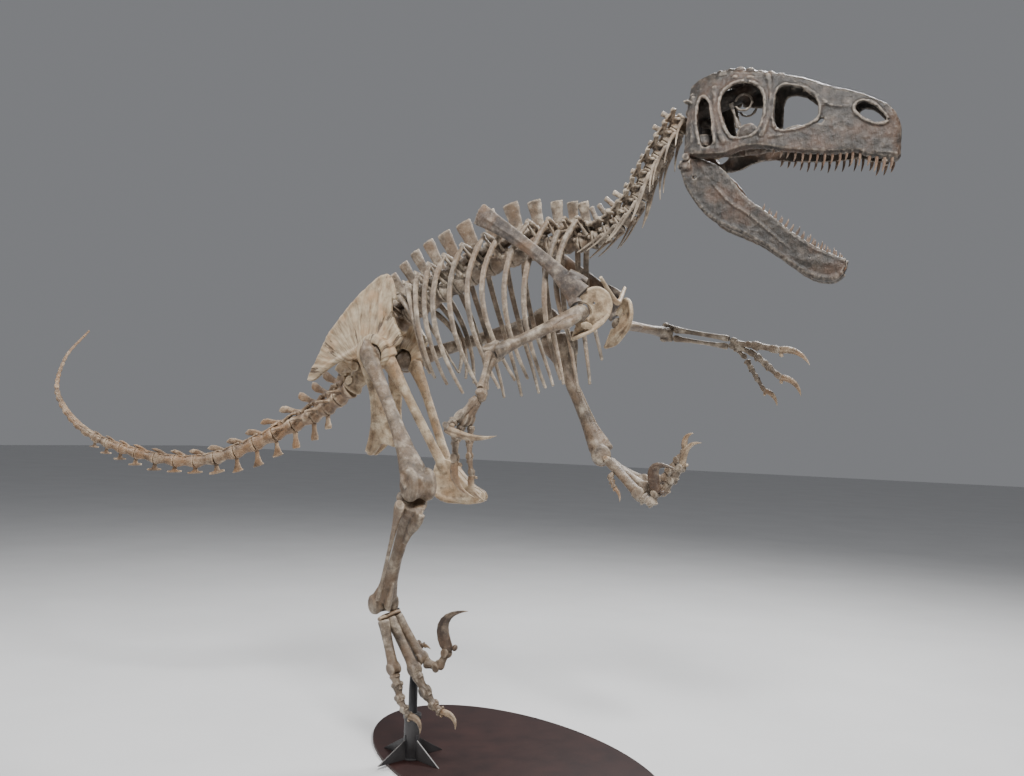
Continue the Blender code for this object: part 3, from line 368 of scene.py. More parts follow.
def copied(model, name, place):
    """A copy of a modelled piece, with its own mesh, put in its place."""
    nothing_picked()
    model.select_set(True)
    bpy.context.view_layer.objects.active = model
    bpy.ops.object.duplicate(linked=False)
    ob = bpy.context.object
    ob.name = name
    ob.data.transform(place)
    if place.determinant() < 0:
        bpy.ops.object.mode_set(mode='EDIT')
        bpy.ops.mesh.select_all(action='SELECT')
        bpy.ops.mesh.normals_make_consistent(inside=False)
        bpy.ops.object.mode_set(mode='OBJECT')
    return ob


def nudged(ob, move, start=MIDLINE):
    """Shape a mesh by moving every corner by move(x, y, z), measured from the start."""
    for corner in ob.data.vertices:
        corner.co += Vector(move(*(corner.co - start)))
    return ob


def raised(model, name, place, floor, times, slope=0.0):
    """A copy whose parts above the floor height are drawn out and leant back, then put in its place."""
    ob = copied(model, name, Matrix())
    nudged(ob, lambda x, y, z: (-slope * max(0.0, z - floor), 0.0, (times - 1.0) * max(0.0, z - floor)),
           Vector())
    ob.data.transform(place)
    return ob


def joints_along(start, stop, lengths):
    """Where the joints fall between vertebrae of these relative lengths."""
    share = (stop - start) / sum(lengths)
    return [start + share * sum(lengths[:k]) for k in range(len(lengths) + 1)]


def between(value, stops):
    """Read off a curve given by a few (place, value) pairs."""
    for (a, low), (b, high) in zip(stops, stops[1:]):
        if value <= b:
            return low + (high - low) * max(0.0, value - a) / (b - a)
    return stops[-1][1]


def done_with(*models):
    """Remove the models that the copies were made from."""
    for model in models:
        bpy.data.objects.remove(model, do_unlink=True)


def bone_paint(name, deep, mid, pale, stain, streak=(1, 1, 1), gloss=0.56, crack=0.35, edge_wear=0.75):
    """Tinted cast bone: blotches, streaks along the grain, dark pits, pale worn edges, and painted shade
    darkening the hollows.
    """
    paint = Paint(name)
    blotch = paint.speckle(9.0, 5.0)
    patch = paint.speckle(26.0, 6.0, 0.6)
    fibre = paint.speckle(46.0, 5.0, 0.62, streak)
    pit = paint.speckle(190.0, 5.0, 0.7)
    tone = paint.steps(patch, (0.30, deep), (0.50, mid), (0.74, pale))
    warm = paint.steps(blotch, (0.44, black(0.0)), (0.62, black(1.0)))
    tone = paint.blend(warm * 0.75, tone, (*stain, 1.0))
    lines = paint.steps(fibre, (0.36, black(1.0)), (0.47, black(0.0)))
    tone = paint.blend(lines * crack, tone, (*(0.45 * c for c in deep), 1.0))
    chalk = paint.steps(fibre, (0.58, black(0.0)), (0.70, black(1.0)))
    tone = paint.blend(chalk * 0.30, tone, (*pale, 1.0))
    edge = paint.node("ShaderNodeNewGeometry", out="Pointiness")
    worn = paint.steps(edge, (0.508, black(0.0)), (0.548, black(1.0)))
    # painted shade: hollows and creases are darkened where shade would fall
    hollow_shade = paint.steps(edge, (0.452, black(1.0)), (0.493, black(0.0)))
    tone = paint.blend(hollow_shade * 0.85, tone, (*(0.22 * c for c in deep), 1.0))
    tone = paint.blend(worn * (patch * edge_wear), tone, (*(min(1.0, 1.25 * c) for c in pale), 1.0))
    holes = paint.steps(pit, (0.34, black(1.0)), (0.44, black(0.0)))
    tone = paint.blend(holes * 0.45, tone, (*(0.40 * c for c in deep), 1.0))
    return paint.finish(tone, gloss - 0.12 * patch + 0.15 * holes, fibre * 0.65 + pit * 0.35, 0.0040)


TAN = bone_paint("bone_tan", (0.052, 0.037, 0.025), (0.150, 0.112, 0.078), (0.50, 0.425, 0.330),
                 (0.165, 0.105, 0.062))
back = Line([at(-0.725, 0, 1.284), at(-0.525, 0, 1.518), at(-0.225, 0, 1.689), at(0.014, 0, 1.769),
             at(0.225, 0, 1.794), at(0.343, 0, 1.878), at(0.416, 0, 2.013), at(0.518, 0, 2.166)])
back_start = min(range(len(back.spots)), key=lambda k: abs(back.spots[k].x - at(-0.525, 0, 0).x))
back_stop = min(range(len(back.spots)), key=lambda k: abs(back.spots[k].x - at(0.222, 0, 0).x))
back_start, back_stop = back.marks[back_start], back.marks[back_stop]
back_joints = joints_along(back_start, back_stop, [0.80 + 0.50 * math.exp(-((j - 6.8) / 2.6) ** 2)
                                                   for j in range(13)])


def spool(half, rim, waist, flat=1.0, axis=Vector((1, 0, 0)), middle=Vector((0, 0, 0))):
    """A centrum: thick rims round slightly hollow faces, and a narrow waist."""
    shape = ((-1.0, 0.55), (-0.96, 0.90), (-0.90, 1.0), (-0.76, 0.97), (-0.45, 0.5), (0.0, 0.0),
             (0.45, 0.5), (0.76, 0.97), (0.90, 1.0), (0.96, 0.90), (1.0, 0.55))
    sizes = [waist + (rim - waist) * f for s, f in shape]
    return hoops([middle + axis * (s * half) for s, f in shape], [(r, r * flat) for r in sizes], ACROSS, 20)


def rod(a, b, sizes, flat=ACROSS, bow=Vector((0, 0, 0)), corners=12):
    """Hoops from a to b, evenly set, bowed in the middle."""
    steps = len(sizes) - 1
    path = [Vector(a).lerp(Vector(b), k / steps) + bow * (4 * (k / steps) * (1 - k / steps))
            for k in range(steps + 1)]
    return hoops(path, sizes, Vector(flat), corners)


def both(form):
    """A form and its twin across the model's own middle."""
    nothing_picked()
    form.select_set(True)
    bpy.context.view_layer.objects.active = form
    bpy.ops.object.duplicate(linked=False)
    twin = bpy.context.object
    twin.data.transform(Matrix.Diagonal((1, -1, 1, 1)))
    bpy.ops.object.mode_set(mode='EDIT')
    bpy.ops.mesh.select_all(action='SELECT')
    bpy.ops.mesh.normals_make_consistent(inside=False)
    bpy.ops.object.mode_set(mode='OBJECT')
    return [form, twin]


forms = [spool(0.0305, 0.035, 0.0245),
         rod((0.002, 0, 0.012), (0.000, 0, 0.062), [(0.026, 0.016), (0.022, 0.016), (0.021, 0.012)],
             (1, 0, 0)),
         rod((0.000, 0, 0.050), (-0.006, 0, 0.150), [(0.023, 0.008), (0.0205, 0.0055), (0.0200, 0.005),
                                                     (0.0210, 0.0055), (0.0240, 0.008), (0.0245, 0.0105)],
             (1, 0, 0))]
for form in (rod((0.0, 0.004, 0.052), (-0.012, 0.074, 0.079),
                 [(0.019, 0.008), (0.016, 0.0060), (0.0125, 0.0055),
                 (0.0120, 0.0080), (0.008, 0.006)], (1, 0, 0)),
             rod((-0.004, 0.046, 0.066), (-0.012, 0.018, 0.016),
                 [(0.005, 0.004), (0.004, 0.003), (0.006, 0.004)]),
             rod((0.008, 0.040, 0.064), (0.016, 0.020, 0.026),
                 [(0.005, 0.004), (0.004, 0.003), (0.006, 0.004)]),
             rod((0.008, 0.013, 0.050), (0.040, 0.016, 0.056),
                 [(0.010, 0.008), (0.0085, 0.006), (0.0085, 0.004)]),
             rod((-0.008, 0.012, 0.062), (-0.036, 0.014, 0.063),
                 [(0.010, 0.008), (0.0085, 0.007), (0.0085, 0.004)]),
             rod((0.0, 0.020, 0.010), (0.016, 0.034, 0.004), [(0.008, 0.008), (0.006, 0.006)])):
    forms += both(form)
dorsal = cast("dorsal", forms, 0.0021, 3, 0.010, 0.0014, 0.5)
DORSALS = 13
dorsal_places = []
for j, (a, b) in enumerate(zip(back_joints, back_joints[1:])):
    mark = (a + b) / 2
    high = between(j / 12, ((0.0, 0.162), (0.3, 0.204), (0.65, 0.190), (0.85, 0.148), (1.0, 0.134)))
    times = (high - 0.036) / 0.115
    place = seat(back.at(mark), back.heading(mark), UP, ((b - a) / 0.0625, 1.0 - 0.10 * j / 12, 1.0))
    dorsal_places.append((place, 0.036 + 0.042 * times))
    bone = raised(dorsal, "dorsal_%02d" % (DORSALS - j), place, 0.036, times, 0.10 - 0.12 * j / 12)
    settled(bone, TAN, "bone_tan", "ribcage_right", "ribcage_left")
done_with(dorsal)


# ------------------------------------------------------------------ ribs
# Twelve pairs of slender ribs hang from the side processes. Each has a head against the spool, a
# knob under the process, a strongly curved upper third and a thin free end. They're pinned on.
RIB_ENDS = [(0.215, 1.400), (0.168, 1.318), (0.122, 1.290), (0.062, 1.318), (0.020, 1.312), (-0.035, 1.286),
            (-0.102, 1.274), (-0.170, 1.268), (-0.235, 1.296), (-0.288, 1.318), (-0.316, 1.334),
            (-0.338, 1.352)]
MIDWAY = (0.156, 0.115, 0.048, -0.016, -0.093, -0.149, -0.220, -0.290, -0.329, -0.372, -0.404, -0.440)
for k, ((end_x, end_z), middle_x) in enumerate(zip(RIB_ENDS, MIDWAY), 1):
    place, process = dorsal_places[DORSALS - k]
    spot = place.translation - MIDLINE
    ahead, up = place.col[0].xyz.normalized(), place.col[2].xyz.normalized()
    start = spot + up * (process - 0.006) - ahead * 0.008
    widest = 0.198 - 0.0018 * (k - 6.5) ** 2
    level = (start.z - 1.575) / (start.z - end_z)
    sweep = (middle_x - start.x - (end_x - start.x) * level) / math.sin(math.pi * level ** 0.85)
    for side, word in ((-1, "right"), (1, "left")):
        run = [spot + up * 0.012 + ahead * 0.006 + ACROSS * side * 0.032,
               spot + up * 0.034 + ACROSS * side * 0.050]
        sizes = [(0.0075, 0.0075), (0.0055, 0.0060)]
        for n in range(15):
            t = 0.015 + 0.985 * n / 14
            out = widest * math.sin(math.pi * (0.085 + 0.655 * t)) ** 0.75
            run.append(Vector((start.x + (end_x - start.x) * t + sweep * math.sin(math.pi * t ** 0.85),
                               side * out, start.z + (end_z - start.z) * t)))
            wide = 0.0108 - 0.0014 * t if t < 0.55 else 0.0100 - 0.0100 * (t - 0.55)
            sizes.append((wide, 0.0044 + 0.0024 * (1 - t)))
        knob = run[2] + up * 0.005
        forms = [hoops([p + MIDLINE for p in run], sizes, ahead * 0.85 - UP * 0.25, 10),
                 rod(knob + MIDLINE - up * 0.006, knob + MIDLINE + up * 0.004,
                     [(0.009, 0.009), (0.006, 0.006)])]
        rib = cast("rib_%s_%02d" % (word, k), forms, 0.0022, 3, 0.012, 0.0014, 0.6)
        settled(rib, TAN, "bone_tan", "ribcage_" + word)


# ------------------------------------------------------------------ neck
# Ten knobbly resin vertebrae curve up to the skull on the back's steel rod. They have wide joint
# arms, short spines, and thin ribs of uneven length, glued on, that lie back along the neck.
def lump(spot, radii, ahead=Vector((1, 0, 0)), up=UP):
    """A rounded boss, half sunk in its neighbours."""
    nothing_picked()
    bpy.ops.mesh.primitive_uv_sphere_add(segments=20, ring_count=12, radius=1.0, location=(0, 0, 0))
    ob = bpy.context.object
    ob.data.transform(seat(spot, ahead, up, radii))
    return ob


forms = [spool(0.0265, 0.0275, 0.0215, 0.86),
         rod((0.0, 0, 0.010), (0.0, 0, 0.046), [(0.022, 0.022), (0.020, 0.022), (0.016, 0.014)], (1, 0, 0)),
         rod((0.0, 0, 0.036), (-0.002, 0, 0.100), [(0.014, 0.009), (0.0105, 0.006), (0.009, 0.0055),
                                                   (0.0105, 0.0075)], (1, 0, 0))]
for form in (rod((0.0, 0.014, 0.036), (0.030, 0.036, 0.040),
                 [(0.012, 0.010), (0.009, 0.008), (0.011, 0.006)]),
             rod((0.0, 0.014, 0.040), (-0.032, 0.034, 0.048),
                 [(0.012, 0.010), (0.009, 0.008), (0.011, 0.006)]),
             rod((-0.026, 0.030, 0.046), (-0.030, 0.028, 0.058), [(0.008, 0.008), (0.004, 0.005)]),
             rod((0.026, 0.033, 0.038), (-0.026, 0.032, 0.045),
                 [(0.006, 0.005), (0.005, 0.004), (0.006, 0.005)]),
             rod((0.010, 0.016, -0.004), (0.012, 0.038, -0.014),
                 [(0.010, 0.009), (0.008, 0.008), (0.007, 0.007)]),
             lump(Vector((0.024, 0.037, 0.042)), (0.0095, 0.0080, 0.0070)),
             lump(Vector((-0.026, 0.036, 0.046)), (0.0105, 0.0080, 0.0075)),
             rod((0.004, 0.018, 0.020), (0.010, 0.036, 0.004), [(0.008, 0.007), (0.006, 0.005)])):
    forms += both(form)
cervical = cast("cervical", forms, 0.0020, 3, 0.009, 0.0020, 0.5)
TOPS = (0.112, 0.105, 0.104, 0.094, 0.069, 0.068, 0.063, 0.064, 0.083, 0.083)
CERVICALS = 10
NECK_UP = Vector((-0.55, 0, 0.83))
neck_step = (back.length - back_stop) / CERVICALS
for j in range(CERVICALS):
    mark = back_stop + neck_step * (j + 0.5)
    ahead = back.heading(mark)
    node = "neck_rear" if j < 5 else "neck_front"
    size = 1.12 - 0.022 * j
    up = square(ahead, NECK_UP)
    place = seat(back.at(mark), ahead, up, (neck_step / 0.0545, size, 1.0))
    bone = raised(cervical, "cervical_%02d" % (CERVICALS - j), place, 0.036, (TOPS[j] - 0.036) / 0.069)
    settled(bone, TAN, "bone_tan", node)
    for side, word in ((-1, "right"), (1, "left")):
        head = back.at(mark) + ACROSS * side * (0.037 * size) - up * 0.012 + ahead * 0.010
        run = [head]
        reach = (0.075, 0.095, 0.085, 0.125, 0.090, 0.140, 0.095, 0.120, 0.085, 0.070)[j]
        for f in (0.12, 0.3, 0.5, 0.75, 1.0):
            back_at = mark - reach * f
            under = square(back.heading(back_at), NECK_UP)
            run.append(back.at(back_at) + ACROSS * side * (0.040 + 0.016 * f) - under
                       * (0.012 + 0.034 * f ** 1.4))
        sizes = [(0.0085, 0.0085), (0.0065, 0.0055), (0.0050, 0.0040), (0.0040, 0.0034), (0.0032, 0.0028),
                 (0.0018, 0.0018)]
        strip = cast("neck_rib_%s_%02d" % (word, CERVICALS - j), [hoops(run, sizes, up, 10)], 0.0016, 2,
                     0.008, 0.0006, 0.6)
        settled(strip, TAN, "bone_tan", node)
done_with(cervical)


# ------------------------------------------------------------------ tail
# Thirty-three resin vertebrae on a thinning steel rod taper to a whip that curls up. The first have
# side processes and paddle spines that lean back; further on only ridges and long joint arms are left.
RUST = bone_paint("bone_rust", (0.062, 0.036, 0.020), (0.195, 0.125, 0.074), (0.54, 0.425, 0.300),
                  (0.235, 0.128, 0.060))
tail = Line([at(-0.726, 0.0, 1.283), at(-0.926, 0.0, 1.168), at(-1.333, -0.115, 0.993),
             at(-1.772, -0.205, 1.057), at(-2.126, -0.115, 1.222), at(-2.345, 0.085, 1.398),
             at(-2.385, 0.245, 1.545)])
tail_joints = joints_along(0.0, tail.length,
                           [0.80] * 3 + [1.0] * 9 + [0.84 - 0.38 * k / 20 for k in range(21)])
CAUDALS = 33
TAIL_NODES = [1] * 9 + [2] * 8 + [3] * 8 + [4] * 8
forms = [spool(0.0305, 0.0345, 0.0245, 0.95),
         rod((0.003, 0, 0.012), (0.000, 0, 0.046), [(0.020, 0.013), (0.016, 0.012), (0.012, 0.009)],
             (1, 0, 0)),
         rod((0.004, 0, 0.034), (-0.052, 0, 0.092), [(0.012, 0.007), (0.0095, 0.005), (0.0095, 0.0042),
                                                     (0.0120, 0.0050), (0.0155, 0.0065), (0.0110, 0.005)],
             (1, 0, 0.6))]
wings = rod((0.0, 0.016, 0.006), (-0.010, 0.082, 0.008), [(0.014, 0.008), (0.011, 0.005), (0.011, 0.0042),
                                                        (0.0125, 0.0045), (0.008, 0.003)], (1, 0, 0))
arms = both(rod((0.006, 0.010, 0.034), (0.036, 0.012, 0.048),
                [(0.009, 0.006), (0.0065, 0.0045), (0.007, 0.004)]))
arms += both(rod((-0.010, 0.007, 0.040), (-0.030, 0.007, 0.046),
                 [(0.007, 0.005), (0.005, 0.004), (0.005, 0.004)]))
caudal_front = cast("caudal_front", forms + arms + both(wings), 0.0021, 3, 0.011, 0.0013, 0.6)
forms = [spool(0.0310, 0.0345, 0.0235, 0.92),
         rod((0.004, 0, 0.020), (-0.042, 0, 0.074), [(0.014, 0.007), (0.010, 0.0052), (0.0125, 0.0052),
                                                     (0.0145, 0.006), (0.0105, 0.004)], (1, 0, 0.6))]
arms = both(rod((0.000, 0.010, 0.028), (0.052, 0.013, 0.042),
                [(0.009, 0.006), (0.005, 0.0045), (0.0045, 0.004),
                 (0.005, 0.004)]))
caudal_middle = cast("caudal_middle", forms + arms, 0.0021, 3, 0.011, 0.0013, 0.6)
forms = [spool(0.0315, 0.0345, 0.0215, 0.90),
         rod((0.018, 0, 0.022), (-0.030, 0, 0.034), [(0.006, 0.006), (0.005, 0.008), (0.004, 0.006)])]
arms = both(rod((-0.006, 0.013, 0.024), (0.066, 0.016, 0.034),
                [(0.008, 0.009), (0.0052, 0.007), (0.004, 0.006),
                 (0.0035, 0.005)]))
caudal_rear = cast("caudal_rear", forms + arms, 0.0023, 3, 0.013, 0.0013, 0.5)
TIPS = (0.130, 0.122, 0.108, 0.086, 0.074, 0.062, 0.058, 0.054, 0.050, 0.044, 0.038, 0.034, 0.031, 0.029,
        0.026)
for i, (a, b) in enumerate(zip(tail_joints, tail_joints[1:])):
    ahead = -tail.heading((a + b) / 2)
    girth = (0.005 + 0.031 * (1 - (i + 0.5) / CAUDALS) ** 1.4) / 0.0350
    place = seat(tail.at((a + b) / 2), ahead, UP, ((b - a) / 0.0640, girth, girth))
    name = "caudal_%02d" % (i + 1)
    if i < 5:
        bone = raised(caudal_front, name, place, 0.034, (TIPS[i] / girth - 0.034) / 0.066)
    elif i < 15:
        bone = raised(caudal_middle, name, place, 0.030, (TIPS[i] / girth - 0.030) / 0.050)
    else:
        bone = copied(caudal_rear, name, place)
    settled(bone, RUST, "bone_rust", "tail_%d" % TAIL_NODES[i])
done_with(caudal_front, caudal_middle, caudal_rear)


# ------------------------------------------------------------------ chevrons
# Below the tail's joints hang the chevrons, forked at the top: the first are plain rods that lean
# back, the later ones end in a wide foot like an upturned T. They're glued under the joints.
fork = both(rod((0.004, 0.010, 0.010), (0.0, 0.0, -0.030), [(0.006, 0.005), (0.0055, 0.0045), (0.006, 0.005)],
                (1, 0, 0)))
chevron_rod = cast("chevron_rod", fork + [rod((0.0, 0, -0.022), (-0.004, 0, -0.100), [
    (0.0080, 0.0060), (0.0075, 0.0050), (0.0085, 0.0048), (0.0125, 0.0055), (0.0120, 0.0050)], (1, 0, 0))],
    0.0018, 3, 0.010, 0.0012, 0.6)
fork = both(rod((0.004, 0.009, 0.010), (0.0, 0.0, -0.026), [(0.006, 0.005), (0.0055, 0.0045), (0.006, 0.005)],
                (1, 0, 0)))
foot = rod((0.020, 0, -0.082), (-0.024, 0, -0.090), [(0.0040, 0.007), (0.0055, 0.0110), (0.0060, 0.0125),
                                                     (0.0055, 0.0110), (0.0040, 0.006)], ACROSS)
chevron_foot = cast("chevron_foot", fork + [foot, rod((0.0, 0, -0.020), (-0.001, 0, -0.084), [
    (0.0080, 0.0060), (0.0085, 0.0050), (0.0130, 0.0050), (0.0200, 0.0050)], (1, 0, 0))],
    0.0018, 3, 0.010, 0.0012, 0.6)
fork = both(rod((0.004, 0.009, 0.010), (0.0, 0.0, -0.014), [(0.006, 0.005), (0.0055, 0.0045), (0.006, 0.005)],
                (1, 0, 0)))
foot = rod((0.030, 0, -0.037), (-0.034, 0, -0.041), [(0.0040, 0.0045), (0.0055, 0.0075), (0.0060, 0.0105),
                                                     (0.0055, 0.0080), (0.0040, 0.0045)], ACROSS)
chevron_low = cast("chevron_low", fork + [foot, rod((0.0, 0, -0.010), (-0.001, 0, -0.040), [
    (0.0080, 0.0060), (0.0100, 0.0050), (0.0170, 0.0050)], (1, 0, 0))], 0.0018, 3, 0.010, 0.0012, 0.6)
DROPS = ((0.083, 0.030), (0.095, 0.027), (0.091, 0.026), (0.087, 0.023), (0.090, 0.021), (0.080, 0.015),
         (0.063, 0.005), (0.050, 0.002), (0.048, -0.003), (0.053, -0.007), (0.051, -0.011), (0.048, -0.011),
         (0.045, -0.010), (0.042, -0.010))
for i, (drop, back_by) in enumerate(DROPS, 1):
    mark = tail_joints[i + 1]
    ahead = -tail.heading(mark)
    up = square(ahead, UP)
    lean = (up * drop + ahead * back_by).normalized()
    model, length = ((chevron_rod, 0.102), (chevron_foot, 0.095), (chevron_low, 0.047))[(i > 3) + (i > 6)]
    wide = 1.30 if i < 4 else 1.0 - 0.03 * max(0, i - 8)
    place = seat(tail.at(mark) - up * 0.010, square(lean, ahead), lean,
                 (wide, 1.0 - 0.015 * i, (drop - 0.010) / length))
    settled(copied(model, "chevron_%02d" % i, place), RUST, "bone_rust", "tail_%d" % TAIL_NODES[i])
done_with(chevron_rod, chevron_foot, chevron_low)


# ------------------------------------------------------------------ hip plates
# The ilium is a tall thin plate, blunt in front and pointed behind, with fibres that fan out from
# a thick-rimmed open hip socket. Pale cast bone, stained brown in its cracks.
def smooth_ring(spots, per=4):
    """A closed outline, rounded between its given corners."""
    spots = [Vector(p) for p in spots]
    count = len(spots)
    ring = []
    for i in range(count):
        a, b, c, d = (spots[(i + k) % count] for k in (-1, 0, 1, 2))
        for n in range(per):
            t = n / per
            ring.append(0.5 * (2 * b + (c - a) * t + (2 * a - 5 * b + 4 * c - d) * t ** 2
                               + (3 * b - a - 3 * c + d) * t ** 3))
    return ring


def slab(outline, half, y=0.0):
    """A flat form from an outline (x, z), standing at y, half thick to either side."""
    nothing_picked()
    bpy.ops.mesh.primitive_circle_add(vertices=len(outline), fill_type='NGON', location=(0, 0, 0))
    ob = bpy.context.object
    for corner, spot in zip(ob.data.vertices, outline):
        corner.co = (spot[0] + MIDLINE.x, y + half + MIDLINE.y, spot[1])
    bpy.ops.object.mode_set(mode='EDIT')
    bpy.ops.mesh.extrude_region_move(TRANSFORM_OT_translate={"value": (0.0, -2 * half, 0.0)})
    bpy.ops.mesh.select_all(action='SELECT')
    bpy.ops.mesh.normals_make_consistent(inside=False)
    bpy.ops.object.mode_set(mode='OBJECT')
    return ob


def roller(spot, axis, radius, half, groove=0.86, corners=20):
    """A joint end: a short pulley with rounded rims and a shallow groove."""
    shape = ((-1.0, 0.72), (-0.88, 0.94), (-0.6, 1.0), (-0.25, groove + 0.02), (0.0, groove),
             (0.25, groove + 0.02), (0.6, 1.0), (0.88, 0.94), (1.0, 0.72))
    axis = axis.normalized()
    flat = Vector((0, 0, 1)) if abs(axis.z) < 0.8 else Vector((1, 0, 0))
    return hoops([spot + axis * (s * half) for s, r in shape], [(radius * r,) * 2 for s, r in shape], flat,
                 corners)


def carved(ob, tools):
    """Cut tools out of a form, one after another."""
    for tool in tools:
        nothing_picked()
        bpy.context.view_layer.objects.active = ob
        ob.select_set(True)
        notch = ob.modifiers.new("notch", 'BOOLEAN')
        notch.operation = 'DIFFERENCE'
        notch.solver = 'FAST'
        notch.object = tool
        bpy.ops.object.modifier_apply(modifier="notch")
        bpy.data.objects.remove(tool, do_unlink=True)
    return ob


def other_side(ob, name):
    """The twin of a bone, across the animal's midline."""
    place = Matrix.Translation(MIDLINE) @ Matrix.Diagonal((1, -1, 1, 1)) @ Matrix.Translation(-MIDLINE)
    return copied(ob, name, place)


CREAM = bone_paint("bone_cream", (0.130, 0.082, 0.046), (0.340, 0.250, 0.158), (0.600, 0.500, 0.360),
                   (0.310, 0.190, 0.098), gloss=0.60, crack=0.45)


FAN_X, FAN_Z = -0.600, 1.330


def hip_paint():
    """Cream bone whose cracks fan out from the hip socket, with painted shade in its hollows."""
    paint = Paint("hip_cream")
    across = paint.node("ShaderNodeVectorMath", {"operation": 'SUBTRACT'},
                        {0: paint.place, 1: at(FAN_X, 0.0, FAN_Z)})
    parts = paint.node("ShaderNodeSeparateXYZ", None, {0: across})
    down = Tint(paint, parts.socket.node.outputs[2])
    turn = paint.node("ShaderNodeMath", {"operation": 'ARCTAN2'}, {0: down, 1: parts})
    reach = paint.node("ShaderNodeVectorMath", {"operation": 'LENGTH'}, {0: across}, out=1)
    fan = paint.node("ShaderNodeCombineXYZ", None, {0: turn, 1: reach * 1.1})
    fibre = paint.node("ShaderNodeTexNoise", None, {"Vector": fan, "Scale": 17.0, "Detail": 7.0,
                                                    "Roughness": 0.60})
    crack = paint.node("ShaderNodeTexNoise", None, {"Vector": fan, "Scale": 6.0, "Detail": 9.0,
                                                    "Roughness": 0.66})
    blotch = paint.speckle(14.0, 6.0, 0.6)
    pit = paint.speckle(170.0, 5.0, 0.7)
    tone = paint.steps(fibre, (0.30, (0.150, 0.098, 0.056)), (0.47, (0.33, 0.250, 0.162)),
                       (0.70, (0.50, 0.415, 0.295)))
    stain = paint.steps(blotch, (0.50, black(0.0)), (0.66, black(1.0)))
    tone = paint.blend(stain * 0.55, tone, (0.40, 0.24, 0.12, 1))
    split = paint.steps(crack, (0.390, black(1.0)), (0.425, black(0.0)))
    tone = paint.blend(split * 0.85, tone, (0.060, 0.035, 0.020, 1))
    edge = paint.node("ShaderNodeNewGeometry", out="Pointiness")
    worn = paint.steps(edge, (0.52, black(0.0)), (0.58, black(1.0)))
    # painted shade: hollows and creases are darkened where shade would fall
    hollow = paint.steps(edge, (0.42, black(1.0)), (0.485, black(0.0)))
    tone = paint.blend(hollow * 0.65, tone, (0.10, 0.06, 0.035, 1))
    tone = paint.blend(worn * 0.45, tone, (0.70, 0.61, 0.46, 1))
    return paint.finish(tone, 0.62 - 0.1 * fibre, fibre * 0.35 + pit * 0.30 - split * 0.45, 0.0026)


HIP_CREAM = hip_paint()
hip = at(-0.560, -0.100, 1.398)
outline = smooth_ring([(-0.858, 1.311), (-0.842, 1.352), (-0.821, 1.389), (-0.796, 1.440), (-0.768, 1.492),
                       (-0.700, 1.566), (-0.631, 1.635), (-0.590, 1.668), (-0.552, 1.690), (-0.526, 1.678),
                       (-0.514, 1.630), (-0.508, 1.560), (-0.488, 1.512), (-0.462, 1.475), (-0.466, 1.448),
                       (-0.500, 1.428), (-0.560, 1.410), (-0.620, 1.396), (-0.660, 1.388), (-0.700, 1.385),
                       (-0.745, 1.366), (-0.790, 1.338), (-0.830, 1.310)], 3)
plate_form = slab(outline, 0.009, -0.086)


def lean(x, y, z):
    return (0.0, 0.05 * max(0.0, z - 1.45) - 0.02 * max(0.0, x + 0.60), 0.0)


nudged(plate_form, lean)
crest = [at(x, -0.088 + lean(x, 0, z)[1], z) for x, z in ((-0.500, 1.600), (-0.520, 1.668), (-0.556, 1.682),
                                                         (-0.640, 1.622), (-0.755, 1.495), (-0.815, 1.380))]
forms = [plate_form, hoops(smooth_line(crest, 16), [(0.0095, 0.0075)] * 16, ACROSS, 12),
         roller(hip + Vector((0, 0, 0.010)), ACROSS, 0.066, 0.030, 0.99, 28),
         rod(at(-0.520, -0.090, 1.448), at(-0.494, -0.088, 1.398),
             [(0.024, 0.018), (0.022, 0.018), (0.019, 0.016)], (1, 0, 0)),
         rod(at(-0.608, -0.092, 1.432), at(-0.618, -0.088, 1.388),
             [(0.024, 0.020), (0.022, 0.018), (0.018, 0.015)], (1, 0, 0)),
         rod(at(-0.545, -0.092, 1.470), at(-0.560, -0.089, 1.640),
             [(0.012, 0.012), (0.010, 0.010), (0.006, 0.010),
            (0.005, 0.008)], (1, 0, 0)),
         rod(at(-0.620, -0.092, 1.430), at(-0.815, -0.090, 1.345),
             [(0.016, 0.016), (0.010, 0.013), (0.008, 0.010),
            (0.006, 0.008)], ACROSS)]
ilium = joined("ilium_right_bone", forms)
fuse = ilium.modifiers.new("fuse", 'REMESH')
fuse.mode = 'VOXEL'
fuse.voxel_size = 0.0028
bpy.ops.object.modifier_apply(modifier="fuse")
carved(ilium, [roller(hip + Vector((0, -0.01, -0.002)), ACROSS, 0.043, 0.09, 0.98, 28),
               slab([(-0.595, 1.26), (-0.528, 1.26), (-0.530, 1.392), (-0.590, 1.392)], 0.08, -0.100)])
ilium = cast("ilium_right_bone", [ilium], 0.0026, 5, 0.030, 0.0055, 0.6)


def fan(x, y, z):
    turn = math.atan2(z - FAN_Z, x - FAN_X)
    reach = math.hypot(z - FAN_Z, x - FAN_X)
    ridge = math.sin(turn * 34 + 9 * reach) + 0.6 * math.sin(turn * 61 - 14 * reach)
    return (0.0, 0.0009 * ridge * min(1.0, max(0.0, (reach - 0.13) / 0.06)), 0.0)


nudged(ilium, fan)
settled(other_side(ilium, "ilium_left_bone"), HIP_CREAM, "bone_cream", "ilium_left")
settled(ilium, HIP_CREAM, "bone_cream", "ilium_right")


